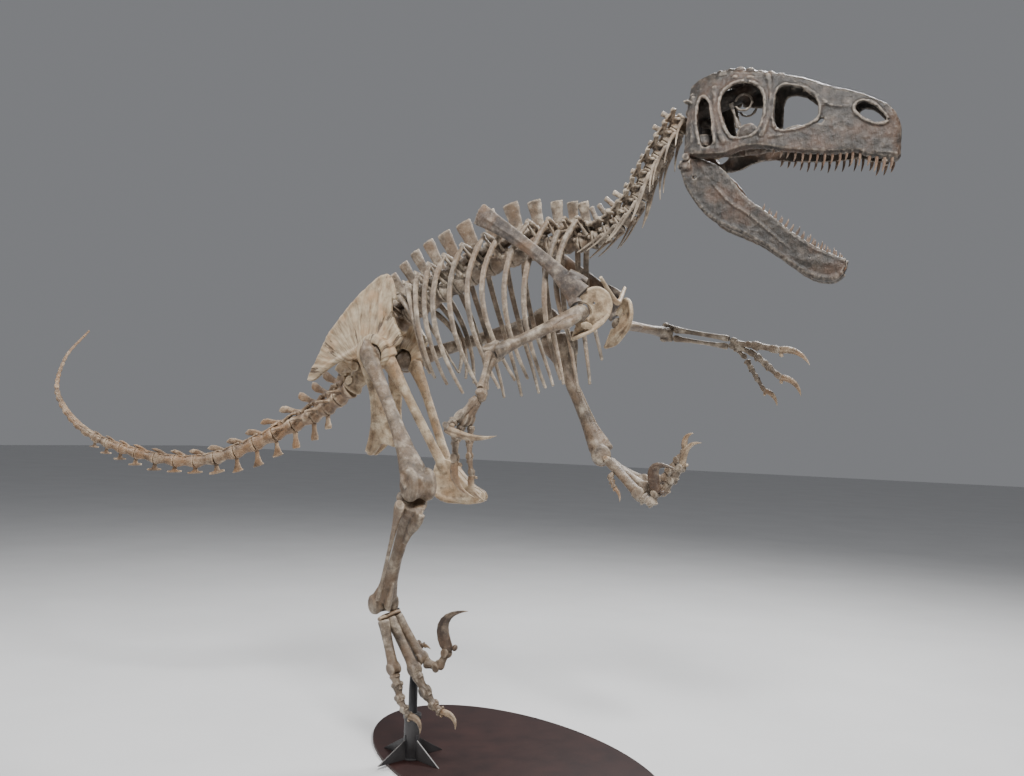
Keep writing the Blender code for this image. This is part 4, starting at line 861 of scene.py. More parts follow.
# ------------------------------------------------------------------ pubis and ischium
# Two pubes run down and forward and meet in one big boot; the shorter ischia point down and back,
# each with a three-cornered flange in front. They're bolted to the hip plates at the socket.
run = smooth_line([at(-0.516, -0.088, 1.388), at(-0.462, -0.074, 1.300), at(-0.398, -0.052, 1.180),
                   at(-0.335, -0.028, 1.060), at(-0.300, -0.019, 1.000)], 16)
sizes = [(0.030 - 0.013 * min(1.0, k / 5) + 0.004 * max(0, k - 10) / 5, 0.019 - 0.006 * min(1.0, k / 5))
         for k in range(16)]
boot = smooth_ring([(-0.335, 1.035), (-0.352, 0.985), (-0.362, 0.940), (-0.330, 0.908), (-0.263, 0.895),
                    (-0.200, 0.893), (-0.160, 0.908), (-0.163, 0.936), (-0.212, 0.962), (-0.262, 1.010),
                    (-0.280, 1.040)], 3)
forms = [hoops(run, sizes, Vector((1, 0, 0.3)), 16), slab(boot, 0.012, -0.0155),
         hoops(smooth_line([at(-0.360, -0.020, 0.938), at(-0.290, -0.020, 0.905), at(-0.168, -0.018, 0.912)],
                           9),
               [(0.008, 0.008), (0.012, 0.011), (0.014, 0.012), (0.014, 0.012), (0.013, 0.012),
                (0.013, 0.011),
                (0.012, 0.010), (0.011, 0.009), (0.006, 0.006)], ACROSS, 12),
         lump(at(-0.508, -0.088, 1.372), (0.030, 0.022, 0.026))]
pubis = cast("pubis_right_bone", forms, 0.0027, 5, 0.018, 0.0020, 0.6)
HIP_SOCKET = hip + Vector((0, -0.01, 0.0)), ACROSS, 0.043, 0.09, 0.98, 28
carved(pubis, [roller(*HIP_SOCKET),
               slab([(-0.7, 1.3), (0.1, 1.3), (0.1, 0.8), (-0.7, 0.8)], 0.3, 0.2997)])
settled(other_side(pubis, "pubis_left_bone"), CREAM, "bone_cream", "pubis_left")
settled(pubis, CREAM, "bone_cream", "pubis_right")

flange = smooth_ring([(-0.628, 1.380), (-0.606, 1.330), (-0.594, 1.285), (-0.590, 1.235), (-0.596, 1.160),
                      (-0.618, 1.100), (-0.636, 1.055), (-0.614, 1.043), (-0.584, 1.070), (-0.560, 1.088),
                      (-0.504, 1.076), (-0.512, 1.115), (-0.536, 1.200), (-0.545, 1.270), (-0.556, 1.350),
                      (-0.580, 1.380)], 3)
form = nudged(slab(flange, 0.0055, -0.088), lambda x, y, z: (0.0, 0.22 * max(0.0, 1.385 - z), 0.0))
run = [at(x, y, z) for x, y, z in ((-0.606, -0.090, 1.385), (-0.598, -0.078, 1.320), (-0.590, -0.062, 1.250),
                                   (-0.594, -0.044, 1.170), (-0.612, -0.030, 1.105), (-0.630, -0.022, 1.056))]
spine = hoops(smooth_line(run, 14),
              [(0.027 - 0.016 * min(1.0, k / 4) - 0.003 * k / 13, 0.018 - 0.009 * min(1.0, k / 5))
               for k in range(14)], Vector((1, 0, 0)), 14)
ischium = cast("ischium_right_bone", [form, spine], 0.0024, 4, 0.016, 0.0016, 0.6)
carved(ischium, [roller(*HIP_SOCKET)])
settled(other_side(ischium, "ischium_left_bone"), CREAM, "bone_cream", "ischium_left")
settled(ischium, CREAM, "bone_cream", "ischium_right")


# ------------------------------------------------------------------ sacrum
# Five vertebrae grown together between the hip plates, with stout ribs out to each plate and
# their spines joined in one ridge. It carries the tail, the hips and the back.
forms = []
for k in range(5):
    mark = back_start * (k + 0.5) / 5
    ahead = back.heading(mark)
    up = square(ahead, UP)
    spot = back.at(mark)
    forms.append(spool(back_start / 10.2, 0.037, 0.029, 1.0, ahead, spot))
    forms.append(rod(spot, spot + up * (0.122 - 0.006 * abs(k - 2.5)),
                     [(0.027, 0.013), (0.024, 0.008), (0.024, 0.006),
                      (0.027, 0.009)], ahead))
    for side in (-1, 1):
        out = (0.040, 0.060, 0.080, 0.080, 0.080)[k]
        forms.append(rod(spot + up * 0.006 + ACROSS * side * 0.015, spot + up * 0.010 + ACROSS * side * out,
                         [(0.019, 0.019), (0.014, 0.014), (0.013, 0.013), (0.019, 0.019)], ahead))
        forms.append(rod(spot + up * 0.050 + ACROSS * side * 0.005,
                         spot + up * 0.048 + ACROSS * side * (out - 0.006),
                         [(0.017, 0.007), (0.014, 0.005), (0.016, 0.008)], ahead))
sacrum = cast("sacrum_bone", forms, 0.0028, 3, 0.014, 0.0018, 0.55)
settled(sacrum, CREAM, "bone_cream", "sacrum")


# ------------------------------------------------------------------ hind legs
# Thigh, shin with a big crest and a thin splint beside it, and three long foot bones with the first
# toe's splint, all cast resin pinned end to end. The right leg hangs on the post; the left is raised.
def limb(a, b, flat, rows, bow=Vector((0, 0, 0)), corners=18):
    """Hoops for a long bone; rows are (share of the length, half width along flat, half depth)."""
    path = [a.lerp(b, row[0]) + bow * (4 * row[0] * (1 - row[0])) for row in rows]
    return hoops(path, [row[1:] for row in rows], flat, corners)


LEGS = {
    "right": (-1, at(-0.275, -0.250, 0.964), at(-0.491, -0.090, 0.536),
              (-0.028, 0.0, 0.028),
              (at(-0.344, -0.062, 0.358), at(-0.348, -0.100, 0.328), at(-0.408, -0.138, 0.329))),
    "left": (1, at(-0.076, 0.290, 1.548), at(0.152, 0.300, 1.072),
             (-0.028, 0.0, 0.028),
             (at(0.330, 0.205, 0.948), at(0.342, 0.243, 0.968), at(0.324, 0.282, 0.990)))}
spreads = {}
for word, (side, knee, ankle, tops, ends) in LEGS.items():
    socket = at(-0.560, side * 0.100, 1.398)
    out = ACROSS * side
    thigh, shin = (knee - socket).normalized(), (ankle - knee).normalized()
    hinge = thigh.cross(shin).normalized()
    if hinge.y * side < 0:
        hinge = -hinge
    fore = square(thigh, hinge.cross(thigh))
    top = socket + out * 0.050 - thigh * 0.035
    rows = [(0.0, 0.024, 0.016), (0.02, 0.036, 0.023), (0.06, 0.042, 0.027), (0.14, 0.036, 0.027),
            (0.26, 0.0245, 0.0235), (0.45, 0.0225, 0.0225), (0.62, 0.0240, 0.0245), (0.78, 0.030, 0.032),
            (0.90, 0.042, 0.044), (0.96, 0.040, 0.044)]
    forms = [limb(top, knee, fore, rows, fore * 0.012 * -side),
             lump(socket + out * 0.006, (0.039, 0.037, 0.039)),
             rod(socket + out * 0.054, socket + out * 0.002, [(0.029, 0.027), (0.030, 0.027), (0.031, 0.029)],
                 thigh),
             roller(knee - hinge * 0.003, hinge, 0.056, 0.047, 0.80, 26),
             rod(knee + hinge * 0.034 - thigh * 0.05, knee + hinge * 0.036 + thigh * 0.01,
                 [(0.012, 0.014), (0.018, 0.020), (0.012, 0.014)], fore),
             rod(top + thigh * 0.09 - hinge * 0.010 - fore * 0.026 * side, top + thigh * 0.17 - hinge * 0.006
                 - fore * 0.024 * side, [(0.005, 0.006), (0.009, 0.010), (0.005, 0.006)], fore),
             lump(top + thigh * 0.010 + fore * 0.022, (0.026, 0.017, 0.017), thigh, fore)]
    femur = cast("femur_%s_bone" % word, forms, 0.0031, 5, 0.024, 0.0024, 0.55)
    settled(femur, TAN, "bone_tan", "femur_" + word)

    plateau = knee + shin * (0.056 + 0.0015)
    crest = square(shin, -thigh + shin * thigh.dot(shin))
    if crest.dot(thigh) < 0:
        crest = -crest
    rows = [(0.0, 0.050, 0.038), (0.015, 0.060, 0.046), (0.06, 0.056, 0.044), (0.12, 0.042, 0.035),
            (0.20, 0.031, 0.027), (0.36, 0.0230, 0.0220), (0.55, 0.0210, 0.0205), (0.74, 0.0240, 0.026),
            (0.87, 0.030, 0.037), (0.95, 0.034, 0.046), (0.985, 0.030, 0.044)]
    forms = [limb(plateau, ankle - shin * 0.004, crest, rows),
             rod(plateau + crest * 0.054 + shin * 0.004, plateau + crest * 0.026 + shin * 0.165,
                 [(0.020, 0.012), (0.028, 0.0135), (0.026, 0.011), (0.020, 0.0095), (0.013, 0.009),
                  (0.007, 0.009)],
                 crest),
             rod(plateau + crest * 0.078 + shin * 0.006, plateau + crest * 0.050 + shin * 0.105,
                 [(0.008, 0.012), (0.011, 0.011), (0.009, 0.009), (0.005, 0.006)], crest, crest * 0.006),
             lump(plateau + hinge * 0.022 - crest * 0.024 + shin * 0.012, (0.020, 0.024, 0.028), shin, crest),
             lump(plateau - hinge * 0.022 - crest * 0.024 + shin * 0.012, (0.020, 0.024, 0.028), shin, crest),
             roller(ankle, hinge, 0.036, 0.048, 0.78, 24),
             rod(ankle - shin * 0.012 + crest * 0.026, ankle - shin * 0.115 + crest * 0.024,
                 [(0.036, 0.010), (0.027, 0.0085), (0.016, 0.007), (0.007, 0.005)], hinge)]
    tibia = cast("tibia_%s_bone" % word, forms, 0.0031, 5, 0.024, 0.0024, 0.55)
    settled(tibia, TAN, "bone_tan", "tibia_" + word)

    beside = square(shin, out)
    a = plateau + beside * 0.060 - crest * 0.010 + shin * 0.004
    b = ankle - shin * 0.050 + beside * 0.052 + crest * 0.010
    rows = [(0.0, 0.024, 0.009), (0.02, 0.031, 0.011), (0.07, 0.030, 0.011), (0.15, 0.019, 0.0095),
            (0.26, 0.0115, 0.008), (0.45, 0.0080, 0.0065), (0.75, 0.0068, 0.0058), (0.93, 0.0085, 0.0070),
            (1.0, 0.0095, 0.0075)]
    fibula = cast("fibula_%s_bone" % word, [limb(a, b, crest, rows, corners=14)], 0.0022, 4, 0.014, 0.0014,
                  0.6)
    settled(fibula, TAN, "bone_tan", "fibula_" + word)

    down = (ends[1] - ankle).normalized()
    start = ankle + down * (0.036 + 0.0015 + 0.010)
    spread = square(down, hinge)
    spreads[word] = spread
    cap = rod(start - spread * 0.042, start + spread * 0.042, [(0.014, 0.007), (0.020, 0.010), (0.018, 0.009),
                                                               (0.020, 0.010), (0.014, 0.007)],
              down.cross(spread))
    settled(cast("tarsal_cap_" + word, [cap], 0.0022, 3, 0.012, 0.0012, 0.6), RUST, "bone_tan",
            "metatarsus_" + word)
    for n, (m_top, end) in enumerate(zip(tops, ends)):
        a = start + down * 0.009 + spread * m_top
        run = (end - a).normalized()
        rows = [(0.0, 0.0165, 0.024), (0.04, 0.0185, 0.028), (0.14, 0.0175, 0.026), (0.32, 0.0165, 0.0215),
                (0.60, 0.0160, 0.0190), (0.82, 0.0175, 0.0200), (0.93, 0.0200, 0.0210),
                (0.99, 0.0190, 0.0200)]
        forms = [limb(a, end, spread, rows, corners=16),
                 roller(end - run * 0.002, spread, 0.0230, 0.0205, 0.82, 18)]
        bone = cast("metatarsal_%d_%s" % (n + 2, word), forms, 0.0023, 3, 0.014, 0.0014, 0.55)
        settled(bone, TAN, "bone_tan", "metatarsus_" + word)
        if n == 0:
            first_toe = {"right": at(-0.402, -0.040, 0.412), "left": at(0.212, 0.238, 1.006)}[word]
            high = a.lerp(end, 0.42 if word == "right" else 0.30)
            high += (first_toe - a.lerp(end, 0.60)).normalized() * 0.014
            splint = rod(high, first_toe + run * 0.004, [(0.0035, 0.0035), (0.0055, 0.0050), (0.0075, 0.0065),
                                                         (0.0095, 0.0090), (0.0090, 0.0090)], spread)
            settled(cast("metatarsal_1_" + word, [splint], 0.0016, 2, 0.010, 0.0008, 0.6), TAN, "bone_tan",
                    "metatarsus_" + word)


# ------------------------------------------------------------------ toes
# Knuckled toe bones end in horn-cored claws. The second toe is held up and carries the big sickle
# claw; the small first toe sits high on the inner side. Each bone is pinned to the next.
CLAW = bone_paint("claw_horn", (0.018, 0.013, 0.011), (0.060, 0.040, 0.029), (0.26, 0.20, 0.145),
                  (0.110, 0.062, 0.034), (0.25, 1, 1), 0.44, 0.30, 0.95)
PHALANX_LONG, PHALANX_GIRTH = 0.0600, 0.0148
phalanx = cast("phalanx", [
    rod((-0.004, 0, 0), (0.057, 0, 0),
        [(0.0135, 0.0140), (0.0170, 0.0175), (0.0155, 0.0155), (0.0130, 0.0128),
         (0.0122, 0.0118), (0.0126, 0.0120), (0.0138, 0.0132), (0.0125, 0.0120)]),
    roller(Vector((0.0500, 0, 0)), ACROSS, 0.0158, 0.0152, 0.80, 20),
    rod((0.004, 0, 0.011), (0.010, 0, 0.0155), [(0.006, 0.005), (0.004, 0.004)]),
    rod((0.002, 0, -0.010), (0.014, 0, -0.0155), [(0.008, 0.006), (0.007, 0.004)])], 0.0014, 2, 0.008, 0.0009,
               0.6)


def claw(name, base, tip, bulge, height, thick, across, grain):
    """A hooked claw: two lobes with a groove between them, a cupped root and a knob below it."""
    ahead = (tip - base).normalized()
    out = bulge.normalized() if bulge.length > 0.0005 else square(ahead, across.cross(ahead))
    shape = ((0.0, 0.78), (0.05, 1.0), (0.14, 1.0), (0.26, 0.92), (0.38, 0.82), (0.50, 0.70), (0.62, 0.58),
             (0.73, 0.45), (0.83, 0.32), (0.91, 0.20), (0.97, 0.10), (1.0, 0.03))
    path = [base.lerp(tip, f) + bulge * (4 * f * (1 - f)) for f, s in shape]
    forms = []
    for shift, part, girth in ((0.30, 0.66, 0.90), (-0.30, 0.66, 1.0)):
        lobe = [p + out * (shift * height * s) for p, (f, s) in zip(path, shape)]
        forms.append(hoops(lobe, [(thick * girth * s, height * part * s) for f, s in shape], across, 16))
    knob = base + ahead * (0.14 * (tip - base).length) - out * (height * 0.66)
    forms.append(lump(knob, (height * 0.46, thick * 0.72, height * 0.36), ahead, out))
    return cast(name, forms, grain, 2, 0.010, 0.0007, 0.7)


TOES = {
    "right": [([at(-0.402, -0.040, 0.412), at(-0.374, -0.030, 0.397), at(-0.356, -0.030, 0.396)], 0.010,
               at(-0.326, -0.030, 0.384), Vector((0, 0, 0.004)), 0.0075, 0.005),
              ([at(-0.330, -0.058, 0.345), at(-0.280, -0.052, 0.336), at(-0.250, -0.050, 0.396)], 0.017,
               at(-0.170, -0.050, 0.537), Vector((-0.055, 0.0, 0.028)), 0.027, 0.013),
              ([at(-0.338, -0.102, 0.312), at(-0.295, -0.103, 0.252), at(-0.262, -0.104, 0.218),
                at(-0.236, -0.105, 0.204)], 0.018, at(-0.180, -0.106, 0.150), Vector((0.018, 0, 0.014)),
               0.014, 0.009),
              ([at(-0.402, -0.141, 0.310), at(-0.386, -0.143, 0.274), at(-0.373, -0.146, 0.232),
                at(-0.350, -0.149, 0.202), at(-0.333, -0.150, 0.186)], 0.017, at(-0.288, -0.151, 0.130),
               Vector((0.016, 0, 0.014)), 0.014, 0.009)],
    "left": [([at(0.212, 0.238, 1.006), at(0.224, 0.222, 0.988), at(0.238, 0.210, 0.966)], 0.010,
              at(0.265, 0.190, 0.916), Vector((0.008, 0, 0.004)), 0.008, 0.005),
             ([at(0.346, 0.199, 0.938), at(0.380, 0.192, 0.924), at(0.396, 0.188, 0.962)], 0.017,
              at(0.472, 0.180, 1.037), Vector((-0.042, 0.0, 0.046)), 0.025, 0.013),
             ([at(0.358, 0.238, 0.962), at(0.413, 0.224, 0.966), at(0.446, 0.214, 1.010),
               at(0.478, 0.206, 1.052)], 0.017, at(0.552, 0.184, 1.132), Vector((-0.016, 0, 0.024)), 0.014,
              0.009),
             ([at(0.338, 0.278, 0.988), at(0.392, 0.264, 1.000), at(0.424, 0.256, 1.040),
               at(0.452, 0.250, 1.076), at(0.474, 0.246, 1.102)], 0.016, at(0.508, 0.236, 1.164),
              Vector((-0.014, 0, 0.014)), 0.013, 0.009)]}


PALE_CLAW = bone_paint("claw_pale", (0.075, 0.048, 0.030), (0.235, 0.165, 0.105), (0.50, 0.40, 0.28),
                       (0.200, 0.110, 0.055), (0.3, 1, 1), 0.50, 0.35, 0.8)


def digit(node, joints, radius, tip, bulge, height, thick, across, bone, horn=PALE_CLAW):
    """Set one toe or finger: a phalanx from joint to joint, then its claw."""
    for n, (a, b) in enumerate(zip(joints, joints[1:])):
        ahead = (b - a).normalized()
        girth = radius * 0.89 ** n / PHALANX_GIRTH
        up = ahead.cross(square(ahead, across))
        place = seat(a, ahead, up, ((b - a).length / PHALANX_LONG, girth, girth))
        settled(copied(phalanx, "%s_bone_%d" % (node, n + 1), place), bone, "bone_tan", node)
    grain = 0.0012 if height < 0.012 else 0.0016
    settled(claw(node + "_claw", joints[-1], tip, bulge, height, thick, across, grain), horn, "bone_tan",
            node)


for word, toes in TOES.items():
    for n, toe in enumerate(toes):
        digit("toe_%d_%s" % (n + 1, word), *toe, spreads[word], TAN, CLAW if n == 1 else PALE_CLAW)


# ------------------------------------------------------------------ shoulder girdle
# A long thin strap of shoulder blade lies over the ribs, squared off behind and widening forward to
# a round coracoid; a V-shaped wishbone joins the sides in front. Thin resin casts, pinned to the ribs.
DARK = bone_paint("bone_dark", (0.030, 0.024, 0.021), (0.095, 0.074, 0.060), (0.330, 0.275, 0.215),
                  (0.185, 0.105, 0.055), gloss=0.52, crack=0.45, edge_wear=0.9)
run = smooth_line([at(-0.152, -0.112, 1.874), at(-0.090, -0.128, 1.838), at(0.020, -0.150, 1.768),
                   at(0.140, -0.170, 1.680), at(0.205, -0.176, 1.618), at(0.244, -0.177, 1.578)], 18)
wide = smooth_line([Vector((w, d, 0)) for w,
                    d in ((0.040, 0.0045), (0.032, 0.005), (0.024, 0.006), (0.024, 0.0075),
                          (0.034, 0.0105), (0.044, 0.0115))], 18)
plane = Vector((0.55, 0, 0.83))
forms = [hoops(run, [(w.x, w.y) for w in wide], plane, 20),
         hoops([p + Vector((0, -0.004, 0)) for p in run[1:15]],
               [(0.010 - 0.0003 * k, 0.0055) for k in range(14)], plane, 10),
         hoops(smooth_line([run[0] + plane * 0.037, run[0] + Vector((-0.006, 0, 0)), run[0] - plane * 0.037],
                           8),
               [(0.006, 0.0055)] * 8, ACROSS, 10),
         lump(at(0.232, -0.178, 1.556), (0.026, 0.014, 0.020)),
         rod(at(0.205, -0.176, 1.655), at(0.262, -0.160, 1.628),
             [(0.014, 0.010), (0.013, 0.010), (0.009, 0.008)], plane)]
scapula = cast("scapula_right_bone", forms, 0.0024, 4, 0.020, 0.0018, 0.6)
SHOULDER_SOCKET = at(0.250, -0.176, 1.530), (0.034, 0.05, 0.032)
carved(scapula, [lump(*SHOULDER_SOCKET)])
settled(other_side(scapula, "scapula_left_bone"), DARK, "bone_dark", "scapula_left")
settled(scapula, DARK, "bone_dark", "scapula_right")

disc = smooth_ring([(0.236, 1.562), (0.262, 1.598), (0.285, 1.610), (0.308, 1.596), (0.320, 1.560),
                    (0.312, 1.520), (0.284, 1.484), (0.245, 1.455), (0.208, 1.444), (0.224, 1.478),
                    (0.230, 1.515)], 4)


def wrap(x, y, z):
    return (0.0, 1.05 * max(0.0, x - 0.250) + 0.35 * max(0.0, 1.52 - z), 0.0)


forms = [nudged(slab(disc, 0.0065, -0.172), wrap)]
edge = ((0.262, 1.598), (0.285, 1.608), (0.308, 1.594), (0.319, 1.560), (0.311, 1.521),
        (0.284, 1.486), (0.245, 1.458), (0.212, 1.447))
forms.append(hoops(smooth_line([at(x, -0.172 + wrap(x, 0, z)[1], z) for x, z in edge], 26),
                   [(0.0070, 0.0075)] * 26,
                   ACROSS, 10))
forms.append(nudged(lump(at(0.262, -0.180, 1.488), (0.014, 0.010, 0.012)), wrap))
coracoid = cast("coracoid_right_bone", forms, 0.0022, 4, 0.016, 0.0014, 0.6)
carved(coracoid, [lump(*SHOULDER_SOCKET),
                  rod(at(0.280, -0.30, 1.560), at(0.280, 0.0, 1.560), [(0.0042, 0.0042)] * 2, (1, 0, 0),
                      corners=12)])
settled(other_side(coracoid, "coracoid_left_bone"), CREAM, "bone_cream", "coracoid_left")
settled(coracoid, CREAM, "bone_cream", "coracoid_right")

run = smooth_line([at(0.288, -0.116, 1.646), at(0.297, -0.062, 1.610), at(0.303, -0.024, 1.586),
                   at(0.305, 0.0, 1.580),
                   at(0.303, 0.024, 1.586), at(0.297, 0.062, 1.610), at(0.288, 0.116, 1.646)], 31)
sizes = [(0.0055 + 0.0050 * (1 - abs(k - 15) / 15), 0.0060 + 0.0040 * (1 - abs(k - 15) / 15))
         for k in range(31)]
settled(cast("furcula_bone", [hoops(run, sizes, UP, 14)], 0.0020, 3, 0.012, 0.0010, 0.7), CREAM, "bone_cream",
        "furcula")


# ------------------------------------------------------------------ arms and hands
# Upper arm with a broad three-cornered crest, two forearm bones, a block of wrist bones and three
# clawed fingers, resin casts pinned in line. The left reaches forward, the right hangs out and down.
ARMS = {
    "left": (1, at(0.340, 0.450, 1.526), at(0.579, 0.420, 1.485),
             ((at(0.652, 0.402, 1.477), 0.012), (at(0.664, 0.411, 1.444), 0.012),
              (at(0.626, 0.430, 1.436), 0.010)),
             (([at(0.662, 0.399, 1.476), at(0.752, 0.380, 1.456)], 0.013, at(0.862, 0.350, 1.400),
               Vector((0.010, 0, 0.018)), 0.018, 0.008),
              ([at(0.672, 0.409, 1.438), at(0.711, 0.400, 1.404), at(0.757, 0.391, 1.364)], 0.012,
               at(0.829, 0.388, 1.296), Vector((0.012, 0, 0.014)), 0.015, 0.007),
              ([at(0.634, 0.430, 1.424), at(0.650, 0.430, 1.395), at(0.668, 0.430, 1.366),
                at(0.696, 0.430, 1.320)],
               0.010, at(0.742, 0.430, 1.262), Vector((0.009, 0, 0.010)), 0.012, 0.006)),
             Vector((-0.2, 0.9, 0.1))),
    "right": (-1, at(0.025, -0.340, 1.384), at(0.096, -0.530, 1.253),
              ((at(0.040, -0.562, 1.180), 0.013), (at(0.050, -0.545, 1.166), 0.012),
               (at(0.062, -0.532, 1.168), 0.010)),
              (([at(0.034, -0.567, 1.174), at(0.010, -0.580, 1.152)], 0.013, at(0.187, -0.600, 1.136),
                Vector((0.0, 0, -0.016)), 0.017, 0.009),
               ([at(0.045, -0.546, 1.158), at(0.027, -0.548, 1.118), at(0.026, -0.545, 1.058)], 0.012,
                at(0.092, -0.530, 0.956), Vector((-0.026, 0, -0.014)), 0.015, 0.007),
               ([at(0.066, -0.528, 1.158), at(0.060, -0.524, 1.112), at(0.060, -0.520, 1.066),
                 at(0.068, -0.518, 1.020)], 0.010, at(0.120, -0.515, 0.948), Vector((-0.020, 0, -0.010)),
                0.012, 0.006)),
              Vector((0.1, 0.9, -0.2)))}
for word, (side, elbow, wrist, rays, fingers, across) in ARMS.items():
    head = at(0.250, side * 0.166, 1.530)
    upper, lower = (elbow - head).normalized(), (wrist - elbow).normalized()
    hinge = upper.cross(lower).normalized()
    flat = square(upper, hinge.cross(upper))
    rows = [(-0.05, 0.016, 0.013), (-0.02, 0.025, 0.020), (0.03, 0.028, 0.022), (0.10, 0.026, 0.018),
            (0.25, 0.022, 0.016), (0.42, 0.0185, 0.0155), (0.65, 0.0175, 0.0155), (0.82, 0.0205, 0.0185),
            (0.93, 0.026, 0.023), (0.97, 0.024, 0.021)]
    crest = head + flat * 0.012
    forms = [limb(head, elbow, flat, rows, corners=18), roller(elbow, hinge, 0.0225, 0.031, 0.80, 20),
             hoops([crest + upper * d + flat * w for d, w in ((0.010, 0.004), (0.035, 0.012), (0.065, 0.018),
                                                             (0.088, 0.016), (0.108, 0.006))],
                   [(0.010, 0.007), (0.015, 0.0075), (0.017, 0.0075), (0.013, 0.007), (0.006, 0.006)], flat,
                   14),
             lump(elbow - upper * 0.020 + hinge * 0.026, (0.018, 0.010, 0.012), upper, flat),
             lump(elbow - upper * 0.020 - hinge * 0.026, (0.018, 0.010, 0.012), upper, flat),
             lump(head + upper * 0.006, (0.020, 0.022, 0.024), upper, flat)]
    settled(cast("humerus_%s_bone" % word, forms, 0.0023, 4, 0.016, 0.0016, 0.6), TAN, "bone_tan",
            "humerus_" + word)

    start = elbow + lower * (0.022 + 0.0015 + 0.003)
    stop = wrist - lower * 0.010
    rows = [(0.0, 0.010, 0.011), (0.03, 0.0135, 0.0135), (0.12, 0.0105, 0.0110), (0.30, 0.0080, 0.0085),
            (0.60, 0.0074, 0.0078), (0.84, 0.0095, 0.0095), (0.95, 0.0125, 0.0120), (1.0, 0.0100, 0.0100)]
    radius = limb(start + hinge * 0.016, stop + hinge * 0.014, hinge, rows, flat * 0.004, 14)
    settled(cast("radius_%s_bone" % word, [radius], 0.0018, 3, 0.012, 0.0012, 0.6), TAN, "bone_tan",
            "radius_" + word)
    rows = [(-0.05, 0.008, 0.010), (0.0, 0.0135, 0.0190), (0.05, 0.0130, 0.0185), (0.14, 0.0108, 0.0130),
            (0.32, 0.0090, 0.0095), (0.60, 0.0084, 0.0086), (0.84, 0.0095, 0.0100), (0.95, 0.0120, 0.0125),
            (1.0, 0.0100, 0.0110)]
    ulna = limb(start - hinge * 0.016, stop - hinge * 0.014, hinge, rows, flat * -0.010, 14)
    settled(cast("ulna_%s_bone" % word, [ulna], 0.0018, 3, 0.012, 0.0012, 0.6), TAN, "bone_tan",
            "ulna_" + word)

    normal = lower.cross(hinge)
    forms = [lump(wrist + lower * 0.006 + hinge * 0.010, (0.013, 0.012, 0.014), lower, normal),
             lump(wrist + lower * 0.008 - hinge * 0.009, (0.014, 0.012, 0.013), lower, normal),
             rod(wrist + lower * 0.012 - hinge * 0.018, wrist + lower * 0.012 + hinge * 0.018,
                 [(0.006, 0.008), (0.009, 0.012), (0.009, 0.012), (0.006, 0.008)], lower)]
    settled(cast("wrist_%s_bone" % word, forms, 0.0017, 2, 0.010, 0.0010, 0.6), TAN, "bone_tan",
            "palm_" + word)
    for n, (end, r) in enumerate(rays):
        ahead = (end - wrist).normalized()
        a = wrist + ahead * 0.020
        up = ahead.cross(square(ahead, across))
        place = seat(a, ahead, up, ((end - a).length / 0.0570, r / 0.0160, r / 0.0160))
        settled(copied(phalanx, "palm_bone_%d_%s" % (n + 1, word), place), TAN, "bone_tan", "palm_" + word)
    for n, finger in enumerate(fingers):
        digit("finger_%d_%s" % (n + 1, word), *finger, across, TAN)
done_with(phalanx)


# ------------------------------------------------------------------ skull
# A long narrow head, one resin cast with its palate, socketed on the neck's rod: thin bones round the
# window behind the eye, the orbit, a wide window before it and the nostril, with knobs along the brow.
HEAD = [(0.538, 2.066, 2.232, 0.078, 0.038), (0.552, 2.018, 2.258, 0.098, 0.056),
        (0.600, 2.006, 2.279, 0.110, 0.070), (0.665, 2.004, 2.288, 0.107, 0.075),
        (0.714, 2.020, 2.283, 0.099, 0.071), (0.772, 2.026, 2.272, 0.089, 0.062),
        (0.831, 2.014, 2.257, 0.078, 0.053), (0.893, 2.005, 2.239, 0.067, 0.047),
        (0.952, 1.999, 2.213, 0.060, 0.043), (1.004, 1.998, 2.194, 0.054, 0.040),
        (1.048, 1.998, 2.178, 0.048, 0.037), (1.080, 1.984, 2.163, 0.043, 0.034),
        (1.126, 1.978, 2.137, 0.034, 0.026), (1.150, 1.976, 2.106, 0.024, 0.018),
        (1.162, 1.988, 2.070, 0.013, 0.009)]
head_rows = smooth_line([Vector(row) for row in HEAD], 57)


def head_side(row):
    """Half of a section across the head, from its lower edge to its roof: (out, height)."""
    x, low, top, below, above = row
    tall = top - low
    return [(below * 0.86, low), (below, low + 0.16 * tall), ((below + above) / 2, low + 0.62 * tall),
            (above, top - 0.10 * tall), (above * 0.62, top)]


def head_half(x, z):
    """How far the cheek stands out at a place."""
    k = max([0] + [k for k in range(len(head_rows) - 1) if head_rows[k][0] <= x])
    t = min(1.0, max(0.0, (x - head_rows[k][0]) / (head_rows[k + 1][0] - head_rows[k][0])))
    side = head_side(head_rows[k] * (1 - t) + head_rows[k + 1] * t)
    for (out_a, z_a), (out_b, z_b) in zip(side, side[1:]):
        if z <= z_b:
            return out_a + (out_b - out_a) * max(0.0, (z - z_a) / (z_b - z_a))
    return side[-1][0]


def cheek(x, z, lift=0.0):
    return at(x, -head_half(x, z) - lift, z)


def skin(rings):
    """A closed skin through rings of equal count."""
    loops = []
    for ring in rings:
        nothing_picked()
        bpy.ops.mesh.primitive_circle_add(vertices=len(ring), location=(0, 0, 0))
        for corner, spot in zip(bpy.context.object.data.vertices, ring):
            corner.co = spot
        loops.append(bpy.context.object)
    ob = joined("skin", loops)
    bpy.ops.object.mode_set(mode='EDIT')
    bpy.ops.mesh.select_all(action='SELECT')
    bpy.ops.mesh.bridge_edge_loops()
    bpy.ops.mesh.select_all(action='SELECT')
    bpy.ops.mesh.fill_holes(sides=0)
    bpy.ops.mesh.normals_make_consistent(inside=False)
    bpy.ops.object.mode_set(mode='OBJECT')
    return ob


